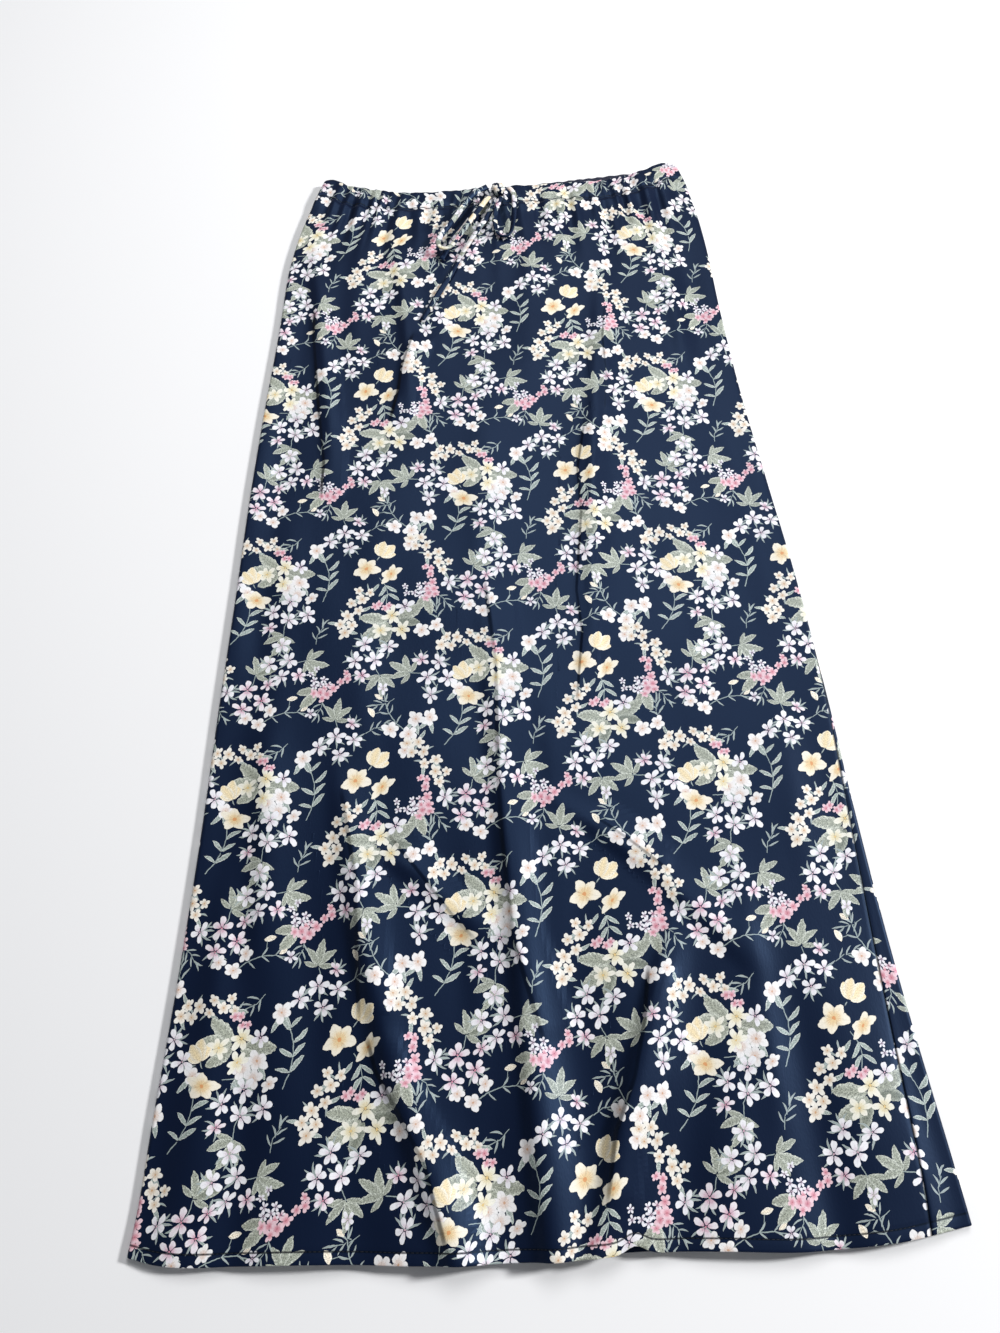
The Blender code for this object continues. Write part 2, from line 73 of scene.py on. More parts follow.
skirt = {
    "length": 0.975,
    "panelWall": 0.0012,
    "casingWall": 0.0024,
    "casingDepth": 0.024,
    "layerGap": 0.0006,
    "restWave": 0.0006, "restWavePitch": 0.115, "restWaveSlants": (0.16, 0.3), "restWaveStretch": 0.45,
    "flareLift": 0.0095, "flareReach": 0.58, "flarePower": 1.25,
    "waistLift": 0.0036, "waistReach": 0.17,
    "cornerLift": 0.0035, "cornerAcross": (0.62, 0.97), "cornerDepth": 0.10,
    "edgeBlend": 0.026,
    "gathers": 13, "gatherHeight": 0.0013, "gatherReach": 0.16,
    "gatherSpread": [(0.035, 7.0, 0.0), (0.020, 17.0, 0.0)],     # waves: height, rate, start
    "gatherStrength": 0.72, "gatherUneven": [(0.28, 5.3, 1.1)],
    "hemLineReach": 0.17, "waistLineReach": 0.24,
    "hemPull": (0.054, 0.0050, 0.0085),     # where, how high, half its width
    "creaseFade": 0.45, "ridgeFall": 0.65,
}

# height, left, right, roll, edge
sections = np.array([
    (0.000, 0.2830, 0.2815, 0.0310, 0.0021),
    (0.030, 0.2785, 0.2785, 0.0270, 0.0021),
    (0.100, 0.2730, 0.2712, 0.0205, 0.0021),
    (0.200, 0.2635, 0.2615, 0.0125, 0.0022),
    (0.300, 0.2555, 0.2545, 0.0065, 0.0023),
    (0.400, 0.2492, 0.2492, 0.0025, 0.0024),
    (0.500, 0.2424, 0.2420, 0.0000, 0.0024),
    (0.600, 0.2360, 0.2315, 0.0000, 0.0024),
    (0.700, 0.2275, 0.2212, 0.0000, 0.0024),
    (0.800, 0.2172, 0.2142, 0.0000, 0.0025),
    (0.860, 0.2118, 0.2115, 0.0000, 0.0027),
    (0.900, 0.2038, 0.2080, 0.0000, 0.0029),
    (0.930, 0.1950, 0.2035, 0.0000, 0.0031),
    (0.951, 0.1878, 0.1990, 0.0000, 0.0033),
    (0.975, 0.1790, 0.1925, 0.0000, 0.0034),
])

# across, hem, front waist, back waist
edgeLines = np.array([
    (-1.00, 0.0135, 0.0160, 0.0160),
    (-0.94, 0.0092, 0.0170, 0.0190),
    (-0.85, 0.0066, 0.0080, 0.0120),
    (-0.60, 0.0055, -0.0030, 0.0030),
    (-0.30, 0.0016, -0.0035, 0.0010),
    (0.00, 0.0006, 0.0000, 0.0040),
    (0.20, 0.0026, 0.0010, 0.0080),
    (0.38, 0.0020, 0.0030, 0.0120),
    (0.60, -0.0010, 0.0068, 0.0170),
    (0.80, 0.0014, 0.0150, 0.0215),
    (0.93, 0.0062, 0.0260, 0.0285),
    (1.00, 0.0092, 0.0225, 0.0235),
])

# Troughs that take a share of the lift: top x, top, foot x, foot, bow, half width, share
creases = [
    (-0.075, 0.380, -0.030, -0.020, 0.000, 0.0200, 0.42),     # left of the centre
    (0.032, 0.300, 0.030, -0.020, 0.000, 0.0180, 0.40),       # right of the centre
    (-0.180, 0.340, -0.122, -0.020, -0.006, 0.0240, 0.45),    # left
    (0.128, 0.215, 0.078, -0.020, 0.004, 0.0160, 0.38),       # right
    (0.176, 0.240, 0.190, -0.020, 0.004, 0.0170, 0.52),       # far right
    (-0.222, 0.300, -0.214, -0.020, 0.004, 0.0150, 0.45),     # far left
]

# Folds that stand on the front, steep on their left and easy on their right: top x, top, foot x,
# foot, bow, left half width, right half width, height, the share of the length over which each
# rises, and the share of its height that it keeps at its foot
ridges = [
    (-0.034, 0.590, 0.000, -0.020, -0.002, 0.0078, 0.0180, 0.0068, 0.75, 1.0),     # centre
    (-0.155, 0.400, -0.056, -0.020, -0.018, 0.0085, 0.0190, 0.0066, 0.50, 1.0),    # left diagonal
    (0.118, 0.250, 0.022, -0.020, -0.005, 0.0072, 0.0170, 0.0068, 0.35, 1.0),      # right diagonal
    (0.000, 0.330, 0.172, 0.160, 0.015, 0.0060, 0.0150, 0.0030, 0.35, 0.0),        # right drag
    (-0.126, 0.292, -0.030, 0.198, 0.002, 0.0060, 0.0140, 0.0030, 0.35, 0.0),      # left drag
    (-0.210, 0.390, -0.208, 0.170, 0.004, 0.0090, 0.0200, 0.0036, 0.30, 0.0),      # far left
    (-0.194, 0.930, -0.160, 0.600, 0.003, 0.0065, 0.0110, 0.0028, 0.30, 0.0),      # left side
    (-0.108, 0.920, -0.092, 0.670, 0.005, 0.0060, 0.0110, 0.0028, 0.30, 0.0),      # left of the tie
    (0.107, 0.900, 0.058, 0.370, -0.006, 0.0070, 0.0130, 0.0028, 0.30, 0.0),       # long right
    (0.160, 0.930, 0.172, 0.700, 0.004, 0.0080, 0.0120, 0.0024, 0.30, 0.0),        # right side
]


def smooth(value, low, high):
    part = np.clip((value - low) / (high - low), 0.0, 1.0)
    return part * part * (3.0 - 2.0 * part)


def wavy(base, value, waves):
    for tall, rate, start in waves:
        base = base + tall * np.sin(rate * value + start)
    return base


def curveThrough(table, column, value):
    # Rounded reading of a table's column; its first column is the key.
    keys, values = table[:, 0], table[:, column]
    value = np.clip(value, keys[0], keys[-1])
    slopes = np.empty(len(keys))
    slopes[1:-1] = (values[2:] - values[:-2]) / (keys[2:] - keys[:-2])
    slopes[0] = (values[1] - values[0]) / (keys[1] - keys[0])
    slopes[-1] = (values[-1] - values[-2]) / (keys[-1] - keys[-2])
    row = np.clip(np.searchsorted(keys, value, side="right") - 1, 0, len(keys) - 2)
    step = keys[row + 1] - keys[row]
    t = (value - keys[row]) / step
    rise = values[row + 1] - values[row]
    start, end = slopes[row] * step, slopes[row + 1] * step
    return (values[row] + t * start + t * t * (3 * rise - 2 * start - end)
            + t ** 3 * (start + end - 2 * rise))


def halfWidth(x, height):
    return np.where(x > 0, curveThrough(sections, 2, height), curveThrough(sections, 1, height))


def lineDistance(fold, x, height):
    topX, top, footX, foot, bow = fold[:5]
    along = (top - height) / (top - foot)
    lineX = topX + (footX - topX) * along + bow * 4 * along * (1 - along)
    slant = math.atan2(footX - topX, top - foot)
    return (x - lineX) * math.cos(slant), along


def bell(distance, width):
    return np.exp(-(distance / width) ** 2)


def creaseShare(x, height):
    share = np.ones(np.broadcast(x, height).shape)
    for crease in creases:
        distance, along = lineDistance(crease, x, height)
        depth = crease[6] * smooth(along, 0.0, skirt["creaseFade"])
        share = share * (1.0 - depth * bell(distance, crease[5]))
    return share


def ridgeHeight(table, x, height):
    total = 0.0
    for ridge in table:
        left, right, tall, rise, kept = ridge[5:]
        distance, along = lineDistance(ridge, x, height)
        fade = smooth(along, 0.0, rise) * (1.0 - (1.0 - kept) * smooth(along, skirt["ridgeFall"], 1.0))
        total = total + tall * fade * bell(distance, np.where(distance < 0, left, right))
    return total


def gathersAt(across, height):
    line = skirt["length"] - skirt["casingDepth"]
    fade = smooth(height, line - skirt["gatherReach"], line)
    spread = wavy(across, across, skirt["gatherSpread"])
    uneven = wavy(skirt["gatherStrength"], across, skirt["gatherUneven"])
    return skirt["gatherHeight"] * fade * uneven * (0.5 + 0.5 * np.cos(math.pi * skirt["gathers"] * spread))


def frontHeight(x, height):
    half = halfWidth(x, height)
    edge = curveThrough(sections, 4, height)
    across = np.clip(x / half, -1, 1)
    inward = np.maximum(half - np.abs(x) - edge, 0.0)
    flare = np.maximum(1.0 - height / skirt["flareReach"], 0.0) ** skirt["flarePower"]
    arch = np.sqrt(np.maximum(1.0 - across ** 4, 0.0))
    length = skirt["length"]
    lift = skirt["flareLift"] * flare * arch * creaseShare(x, height)
    atWaist = smooth(height, length - skirt["waistReach"], length - skirt["casingDepth"])
    lift = lift + skirt["waistLift"] * atWaist
    lift = lift + (skirt["cornerLift"] * smooth(across, *skirt["cornerAcross"])
                   * smooth(height, length - skirt["cornerDepth"], length))
    lift = lift + ridgeHeight(ridges, x, height) + gathersAt(across, height)
    turn = 2 * math.pi / skirt["restWavePitch"]
    wave = (np.sin(turn * (x + skirt["restWaveSlants"][0] * height))
            * np.cos(skirt["restWaveStretch"] * turn * (height - skirt["restWaveSlants"][1] * x)))
    flat = skirt["panelWall"] + skirt["layerGap"] + lift + skirt["restWave"] * (1 + wave)
    return 2 * edge + (flat - 2 * edge) * smooth(inward, 0.0, skirt["edgeBlend"])


# The tie, on the same routes as the solids'.
tie = {
    "radius": 0.0024, "clearance": 0.0003,
    "width": 0.0054, "thickness": 0.0026,       # of the pressed tube
    "knotSize": (0.0165, 0.0135, 0.0100), "knotPlace": (0.0020, 0.9640), "knotSeat": (0.006, 0.005),
    "knotSquareness": 0.8,
    "seatSmoothing": 3, "spacing": 0.0045, "leastPoints": 8, "fineness": 40, "casingMargin": 0.004,
    "ringPoints": 16, "ringStep": 0.0016, "leastRings": 12, "smoothing": 2,
    "squareness": (0.8, 0.9),                   # across and through the pressed tube
    "endReach": 0.0009, "endThin": 0.9, "endNarrow": 0.06,
    "crimp": (0.00012, 900.0),                  # height, and turns for a metre
}

# x, height above the hem, how far the underside stands off the cloth
leftLoop = [(-0.0090, 0.9665, 0.0050), (-0.0230, 0.9550, 0.0060), (-0.0375, 0.9350, 0.0062),
            (-0.0500, 0.9130, 0.0064), (-0.0592, 0.8985, 0.0064), (-0.0612, 0.8895, 0.0064),
            (-0.0560, 0.8842, 0.0064), (-0.0485, 0.8872, 0.0064), (-0.0390, 0.9020, 0.0062),
            (-0.0250, 0.9250, 0.0060), (-0.0140, 0.9430, 0.0058), (-0.0075, 0.9530, 0.0056)]
rightLoop = [(0.0125, 0.9650, 0.0050), (0.0178, 0.9560, 0.0050), (0.0178, 0.9400, 0.0030),
             (0.0162, 0.9240, 0.0012), (0.0125, 0.9090, 0.0008), (0.0058, 0.9035, 0.0008),
             (-0.0010, 0.9090, 0.0008), (-0.0028, 0.9240, 0.0014), (-0.0003, 0.9390, 0.0040),
             (0.0050, 0.9520, 0.0056)]
shortTail = [(-0.0078, 0.9560, 0.0003), (-0.0200, 0.9420, 0.0003), (-0.0350, 0.9175, 0.0003),
             (-0.0480, 0.8975, 0.0003), (-0.0585, 0.8760, 0.0003)]
longTail = [(-0.0005, 0.9530, 0.0003), (-0.0100, 0.9320, 0.0003), (-0.0240, 0.9080, 0.0003),
            (-0.0380, 0.8820, 0.0003), (-0.0500, 0.8560, 0.0003), (-0.0640, 0.8300, 0.0003),
            (-0.0790, 0.8010, 0.0003)]


def clothTop(x, height):
    height = min(height, skirt["length"])
    onCasing = height > skirt["length"] - skirt["casingDepth"] - tie["casingMargin"]
    return skirt["casingWall" if onCasing else "panelWall"] + float(frontHeight(x, height))


def evenRoute(given, count):
    # Points at even steps on a smooth curve through the given ones.
    given = np.array(given)
    ends = np.vstack([2 * given[0] - given[1], given, 2 * given[-1] - given[-2]])
    fine = []
    for i in range(len(given) - 1):
        a, b, c, d = ends[i:i + 4]
        for t in np.linspace(0.0, 1.0, tie["fineness"], endpoint=False):
            fine.append(0.5 * (2 * b + (c - a) * t + (2 * a - 5 * b + 4 * c - d) * t ** 2
                               + (3 * b - a - 3 * c + d) * t ** 3))
    fine = np.array(fine + [given[-1]])
    run = np.concatenate([[0.0], np.cumsum(np.linalg.norm(np.diff(fine, axis=0), axis=1))])
    marks = np.linspace(0.0, run[-1], count)
    return np.stack([np.interp(marks, run, fine[:, k]) for k in range(3)], axis=1)


def strandRoute(given):
    # A strand's own height where it stands off, and on the cloth elsewhere.
    reach, away = tie["radius"], tie["clearance"] + tie["radius"]
    places = [(x, h, clothTop(x, h) + off + reach) for x, h, off in given]
    length = sum(math.dist(a, b) for a, b in zip(places, places[1:]))
    steps = evenRoute(places, max(tie["leastPoints"], round(length / tie["spacing"])))
    seat = np.array([max(clothTop(x + dx, h + dy) for dx in (-reach, 0, reach) for dy in (-reach, 0, reach))
                     for x, h, _ in steps]) + away
    z = np.maximum(steps[:, 2], seat)
    for _ in range(tie["seatSmoothing"]):
        padded = np.concatenate([z[:1], z, z[-1:]])
        z = np.maximum((padded[:-2] + 2 * z + padded[2:]) / 4, seat)
    return np.column_stack([steps[:, :2] + shift, z])


# Finer folds that only the cloth has.
cloth = {
    "thickness": 0.00045,
    "gathers": 31,            # small gathers of the elastic between the large ones
    "gatherHeight": 0.0014,
    "gatherReach": 0.085,
    "gatherSpread": [(0.021, 11.0, 0.7), (0.010, 29.0, 0.0)],
    "gatherStrength": 0.65, "gatherUneven": [(0.35, 9.1, 2.0)],
    "gatherStart": 0.004, "gatherPower": 1.5,
    "topFlat": (0.6, 0.008),  # the gathers ease at the waist's edge: share, reach
    "pleatDepth": 0.0027,
    "pleatWidth": (0.0036, 0.034),            # at the casing, and how much wider for each metre down
    "pleatApart": 0.19, "pleatFan": 0.10,
    "pleatTop": (-0.012, 0.004), "pleatHold": 0.25,
    "sideReach": (0.004, 0.020),              # the folds die out this near to the sides
    "underRise": (0.0005, 0.6, 0.05),         # small and large gathers of the back, and their reach
    "underSpread": [(0.02, 13.0, 0.0)], "underSides": (0.004, 0.030),
    "channelDip": 0.0009,     # the casing's stitching draws the cloth in
    "channelAt": 0.9535, "channelReach": 0.0022,
    "hemTurn": 0.0078,        # hem edge to its stitching
    "hemDip": 0.00025, "hemReach": 0.0012,
    "seamDip": 0.00035,
    "seamReach": 0.0016,
    "seamTuck": 0.0012,       # how far a wrap runs on past its quarter turn
    "rumple": 0.0005,
    "casingStep": 0.014,      # the wall thickens to the casing's over this height
}
farAway = 9.0                 # stands for a place that no seam or print is near

# Small pleats that run down from the casing: place across, length, strength.
waistPleats = [
    (-0.93, 0.050, 0.8), (-0.80, 0.085, 1.0), (-0.69, 0.040, 0.6), (-0.60, 0.110, 0.9),
    (-0.47, 0.060, 0.8), (-0.385, 0.035, 0.7), (-0.30, 0.120, 0.8), (-0.185, 0.055, 1.0),
    (-0.09, 0.090, 0.7), (0.03, 0.045, 1.0), (0.10, 0.130, 0.8), (0.21, 0.060, 0.9),
    (0.29, 0.040, 0.7), (0.37, 0.100, 1.0), (0.46, 0.050, 0.7), (0.57, 0.120, 1.1),
    (0.66, 0.060, 0.8), (0.75, 0.090, 1.0), (0.84, 0.140, 1.2), (0.93, 0.070, 0.9),
]

# Low soft folds of the body, uneven, as a satin skirt lies: top x, top, foot x, foot, bow, half
# width, height. They are as even on both sides, and fade out at both ends.
softLines = [
    (-0.140, 0.930, -0.152, 0.700, 0.004, 0.0120, 0.0010),
    (-0.052, 0.920, -0.060, 0.730, -0.003, 0.0100, 0.0009),
    (0.028, 0.910, 0.020, 0.700, 0.003, 0.0130, 0.0009),
    (0.075, 0.800, 0.060, 0.480, 0.004, 0.0110, 0.0008),
    (-0.020, 0.760, -0.045, 0.420, 0.006, 0.0160, 0.0010),
    (-0.196, 0.640, -0.214, 0.260, 0.004, 0.0150, 0.0012),
    (-0.120, 0.600, -0.130, 0.300, -0.005, 0.0150, 0.0010),
    (0.130, 0.640, 0.142, 0.280, 0.004, 0.0130, 0.0011),
    (0.196, 0.560, 0.214, 0.200, -0.002, 0.0110, 0.0010),
    (0.020, 0.420, 0.016, 0.150, 0.003, 0.0100, 0.0010),
    (-0.050, 0.300, -0.046, 0.040, 0.003, 0.0090, 0.0012),
    (0.152, 0.300, 0.160, 0.030, 0.003, 0.0100, 0.0012),
    (-0.150, 0.230, -0.152, 0.000, 0.002, 0.0100, 0.0012),
    (-0.232, 0.280, -0.246, 0.020, 0.002, 0.0080, 0.0010),
]
softFolds = [(*line, width, width, tall, 0.30, 0.0) for *line, width, tall in softLines]

# Sharp creases of the front: the width, how deep it is, and places along it.
sharpCreases = [
    (0.0034, 1.00, [(-0.086, 0.790), (-0.093, 0.765), (-0.099, 0.746), (-0.102, 0.720), (-0.111, 0.680)]),
    (0.0034, 0.85, [(-0.184, 0.823), (-0.184, 0.787), (-0.177, 0.705), (-0.170, 0.641), (-0.172, 0.600)]),
    (0.0024, 0.50, [(0.102, 0.820), (0.096, 0.775), (0.096, 0.729), (0.090, 0.680)]),
    (0.0026, 0.60, [(0.072, 0.680), (0.061, 0.625), (0.061, 0.578), (0.051, 0.500), (0.053, 0.459),
                    (0.043, 0.390)]),
    (0.0040, 0.60, [(-0.028, 0.520), (-0.021, 0.432), (-0.023, 0.338), (-0.022, 0.286), (-0.017, 0.208),
                    (0.003, 0.130)]),
    (0.0040, 0.55, [(-0.148, 0.334), (-0.134, 0.257), (-0.130, 0.150)]),
    (0.0036, 0.70, [(-0.126, 0.150), (-0.118, 0.122), (-0.104, 0.098), (-0.084, 0.062), (-0.068, 0.004)]),
    (0.0034, 0.75, [(0.082, 0.190), (0.073, 0.145), (0.063, 0.110), (0.047, 0.076), (0.036, 0.025)]),
    (0.0028, 0.50, [(0.045, 0.303), (0.059, 0.293), (0.076, 0.279), (0.106, 0.252)]),
    (0.0030, 0.50, [(-0.115, 0.298), (-0.090, 0.266), (-0.061, 0.227), (-0.041, 0.205)]),
]
creaseForm = {
    "ledge": 0.0011,          # how far the cloth stands up on the right of a crease
    "ledgeReach": 4.0,        # in widths
    "ends": 0.016,            # a crease fades out over this run at each end
    "strength": 0.78, "uneven": (0.22, 62.0, 9.0),        # least, and the wave along it
    "faint": (5.0, 7.0),      # widths away at which a crease has no more say
    # the dark line and the soft shadow below are painted shade, darkened into the colour
    "line": (-0.95, -0.25, 0.05, 0.40),       # where its dark line starts, is full, ends full and ends
    "shadow": (-4.5, -0.4),
    "lineShade": 0.92, "shadowShade": 0.35,
    "steep": (-0.7, 0.5), "bump": 0.0013,
}


def creaseAt(x, y):
    # How many widths a place is to the right of its nearest crease, and how strong that one is there.
    least, most = creaseForm["faint"]
    sway, rate, apart = creaseForm["uneven"]
    nearest, strength = np.full(np.shape(x), most), np.zeros(np.shape(x))
    for width, depth, places in sharpCreases:
        length = sum(math.dist(a, b) for a, b in zip(places, places[1:]))
        done = 0.0
        for (ax, ay), (bx, by) in zip(places, places[1:]):
            run = math.hypot(bx - ax, by - ay)
            alongX, alongY = (bx - ax) / run, (by - ay) / run
            along = np.clip((x - ax) * alongX + (y - ay) * alongY, 0, run)
            offX, offY = x - ax - along * alongX, y - ay - along * alongY
            side = np.where(offY * alongX - offX * alongY < 0, -1.0, 1.0)
            away = np.hypot(offX, offY) / width
            near = away < np.abs(nearest)
            ends = smooth(done + along, 0, creaseForm["ends"])
            ends = ends * (1 - smooth(done + along, length - creaseForm["ends"], length))
            ends = ends * wavy(creaseForm["strength"], done + along, [(sway, rate, apart * depth)])
            nearest = np.where(near, side * away, nearest)
            strength = np.where(near, depth * ends, strength)
            done += run
    return nearest, strength * (1 - smooth(np.abs(nearest), least, most))


def fineFolds(x, height):
    half = halfWidth(x, height)
    across = np.clip(x / half, -1, 1)
    line = skirt["length"] - skirt["casingDepth"]
    spread = wavy(across, across, cloth["gatherSpread"])
    fade = smooth(height, line - cloth["gatherReach"], line + cloth["gatherStart"]) ** cloth["gatherPower"]
    strength = wavy(cloth["gatherStrength"], across, cloth["gatherUneven"])
    flatter, reach = cloth["topFlat"]
    fade = fade * (1.0 - flatter * smooth(height, skirt["length"] - reach, skirt["length"]))
    total = cloth["gatherHeight"] * fade * strength * np.cos(math.pi * cloth["gathers"] * spread)
    down = line - height
    below = np.clip(down, 0, None)
    width, wider = cloth["pleatWidth"]
    for place, length, amount in waistPleats:
        fades = (1 - smooth(down, cloth["pleatHold"] * length, length)) * smooth(down, *cloth["pleatTop"])
        offset = (across - place) * cloth["pleatApart"] + cloth["pleatFan"] * below * place
        total = total - cloth["pleatDepth"] * amount * fades * bell(offset, width + wider * below)
    total = total + ridgeHeight(softFolds, x, height)
    rumple = (np.sin(41 * x + 9 * height + 2 * np.sin(13 * height))
              * np.sin(17 * height - 8 * x + 1.3 * np.sin(23 * x)))
    total = total + cloth["rumple"] * rumple * smooth(height, 0.0, 0.05)
    off, strength = creaseAt(x, height)
    ledge = smooth(off, -0.5, 0.5) * bell(np.clip(off, 0, None), creaseForm["ledgeReach"])
    total = total + creaseForm["ledge"] * strength * ledge
    return total * smooth(half - np.abs(x), *cloth["sideReach"])


def outerWall(height):
    # Half the solids' wall, which is how far the cloth's outer face is from the wall's middle.
    low, high = skirt["panelWall"] / 2, skirt["casingWall"] / 2
    line = skirt["length"] - skirt["casingDepth"]
    return low + (high - low) * smooth(height, line - cloth["casingStep"], line)


def rowPlace(x, height, onTop):
    # Where a row lies along Y, with the lines of the hem and the waist in it. onTop is from 0 to 1.
    across = np.clip(x / halfWidth(x, height), -1, 1)
    frontLine, backLine = curveThrough(edgeLines, 2, across), curveThrough(edgeLines, 3, across)
    pullX, pullHeight, pullWidth = skirt["hemPull"]
    hem = curveThrough(edgeLines, 1, across) + onTop * pullHeight * bell(x - pullX, pullWidth)
    nearHem = 1.0 - smooth(height, 0.0, skirt["hemLineReach"])
    nearWaist = smooth(height, skirt["length"] - skirt["waistLineReach"], skirt["length"])
    return height + hem * nearHem + (backLine + (frontLine - backLine) * onTop) * nearWaist


def stitchDips(height):
    dip = cloth["channelDip"] * bell(height - cloth["channelAt"], cloth["channelReach"])
    return dip + cloth["hemDip"] * bell(height - cloth["hemTurn"], cloth["hemReach"])


def underRise(x, height):
    # The back's gathers, which leave the floor a little between their feet.
    half = halfWidth(x, height)
    across = np.clip(x / half, -1, 1)
    line = skirt["length"] - skirt["casingDepth"]
    tall, share, reach = cloth["underRise"]
    onFloor = smooth(half - np.abs(x), *cloth["underSides"]) * smooth(height, line - reach, line)
    small = tall + tall * np.cos(math.pi * cloth["gathers"] * wavy(across, across, cloth["underSpread"]))
    return (share * gathersAt(-across, np.maximum(height, line)) + small) * onFloor


def tubeRow(height, face, columns, stand=None, push=0.0):
    # One row of points round the flattened tube, from seam to seam. face is 1 for the front, whose
    # left end wraps under, and -1 for the back, whose right end wraps over. stand is how far the row
    # is from the middle of the wall, and push moves it along Y, for turned edges.
    flap, fold, run, butt = columns
    half = {1: float(curveThrough(sections, 2, height)), -1: float(curveThrough(sections, 1, height))}
    roll, edge = float(curveThrough(sections, 3, height)), float(curveThrough(sections, 4, height))
    wall = float(outerWall(height))
    stand = wall if stand is None else stand
    quarter, tuck = math.pi * edge / 2, cloth["seamTuck"]
    foldStart = max(-roll + 0.0010, -quarter - 0.0006)
    wrap = np.concatenate([np.linspace(-roll, foldStart, flap + 1)[:-1],
                           np.linspace(foldStart, quarter + tuck, fold + 1)])
    meet = np.linspace(roll, roll + quarter + tuck, butt + 1)[::-1]
    start = -face * (half[-face] - edge - tuck)
    end = face * (half[face] - edge - roll - tuck)
    runX = np.linspace(start, end, run + 1)[1:-1]
    sides = np.concatenate([np.full(len(wrap), -face), np.sign(runX), np.full(len(meet), face)])
    reach = np.concatenate([wrap * face, np.full(len(runX), face * farAway), meet * face])
    outer = np.where(sides > 0, half[1], half[-1]) - edge
    flatX = sides * (outer - np.abs(reach) + quarter)
    flatX[len(wrap):len(wrap) + len(runX)] = runX
    onFold = np.abs(reach) <= quarter
    turn = np.clip(reach / edge, -math.pi / 2, math.pi / 2)
    fromSeam = np.concatenate([wrap + roll, np.full(len(runX), farAway), meet - roll])
    inset = cloth["seamDip"] * bell(fromSeam, cloth["seamReach"]) * (1 if stand > 0 else 0)
    rise = frontHeight(flatX, height) + fineFolds(flatX, height) - stitchDips(height)
    flatZ = np.where(reach > 0, wall + rise + stand - inset, wall - stand + inset + underRise(flatX, height))
    x = np.where(onFold, sides * (outer + (edge + stand - inset) * np.cos(turn)), flatX)
    z = np.where(onFold, wall + edge + (edge + stand - inset) * np.sin(turn), flatZ)
    y = rowPlace(x, height, smooth(reach, -edge, edge)) + push
    return np.stack([x, y, z], axis=1)


def turnedEdge(height, face, columns, upward, steps, inside):
    # Rows that turn the cloth over an edge: out of the outer face, round, and back along the inside.
    wall = float(outerWall(height))
    way = 1 if upward else -1
    rows = []
    for i in range(1, steps + 1):
        turn = math.pi * i / steps
        stand, push = wall * math.cos(turn), way * wall * math.sin(turn)
        rows.append(tubeRow(height - way * wall, face, columns, stand, push))
    for depth in inside:
        rows.append(tubeRow(height - way * (wall + depth), face, columns, -wall))
    return rows


# The print is a small repeat of sprays, charted in millimetres.
printTile = {
    "width": 182.0,       # one repeat across; the next one beside it is dropped by half
    "height": 192.0,
    "samples": (0.02, 0.98, 5),        # places looked at along each side of a cell: first, last, how many
    "most": 10,           # how many flowers, and how many leaves, are weighed for one cell
    "stray": 0.6,         # how far a motif's edge can stray
    "flowerReach": 1.18, "leafReach": 0.60,      # how far a motif can reach, for its size
    "seedStep": 0.6180339887,          # the golden share, which spreads the seeds evenly
    "tilt": 0.38, "scatter": 300.0,    # how far flowers are seen from the side, and turned by chance
    "eased": (0.08, 0.84, 0.96),       # the gathers take up cloth: how much, from where, to where
    "noInk": (farAway, farAway, 0.5),
}

# Each kind: petals, where a petal's middle is, its half length, its half width, how much wider
# its tip is, the eye's radius, and the colours of tip, base and eye.
flowerKinds = [
    ("phloxWhite", 5, 0.57, 0.43, 0.262, 0.36, 0.08, (248, 248, 252), (234, 226, 235), (208, 172, 186)),
    ("phloxPink", 5, 0.57, 0.43, 0.258, 0.36, 0.09, (246, 239, 245), (228, 192, 208), (206, 138, 158)),
    ("buttercup", 5, 0.50, 0.50, 0.370, -0.26, 0.13, (250, 243, 226), (243, 220, 168), (222, 160, 106)),
    ("blossom", 5, 0.51, 0.49, 0.375, 0.10, 0.11, (247, 246, 246), (240, 227, 220), (211, 170, 142)),
    ("creamFloret", 5, 0.52, 0.48, 0.340, 0.08, 0.12, (246, 242, 233), (236, 222, 202), (204, 162, 122)),
    ("coralFloret", 5, 0.54, 0.46, 0.330, 0.22, 0.10, (240, 208, 216), (226, 160, 172), (198, 116, 130)),
    ("starFloret", 5, 0.58, 0.42, 0.250, 0.25, 0.09, (245, 245, 250), (230, 220, 232), (208, 178, 194)),
    ("starYellow", 6, 0.56, 0.44, 0.250, 0.05, 0.12, (247, 245, 232), (241, 232, 196), (226, 198, 138)),
]

# Each kind: half width for its length, how blunt it is, how much it bends, how strong its veins
# are, and the colours of its body and its edge.
leafKinds = [
    ("ovate", 0.215, 0.70, 0.06, 1.00, (150, 154, 140), (200, 204, 192)),
    ("lance", 0.130, 0.78, 0.12, 0.90, (152, 163, 156), (214, 221, 216)),
    ("stem", 0.032, 0.04, 0.02, 0.00, (148, 162, 160), (172, 184, 181)),
    ("spike", 0.070, 0.80, 0.14, 0.00, (156, 170, 168), (206, 214, 210)),
    ("cupPetal", 0.300, 0.70, 0.07, 0.40, (243, 224, 182), (250, 246, 231)),
    ("shadeLeaf", 0.210, 0.72, 0.08, 0.90, (124, 129, 116), (182, 187, 174)),
    ("leaflet", 0.165, 0.86, 0.09, 1.00, (152, 157, 144), (202, 207, 196)),
    ("creamBud", 0.235, 0.85, 0.10, 0.80, (238, 227, 206), (246, 243, 233)),
]

flowerNumber = {row[0]: i for i, row in enumerate(flowerKinds)}
leafNumber = {row[0]: i for i, row in enumerate(leafKinds)}


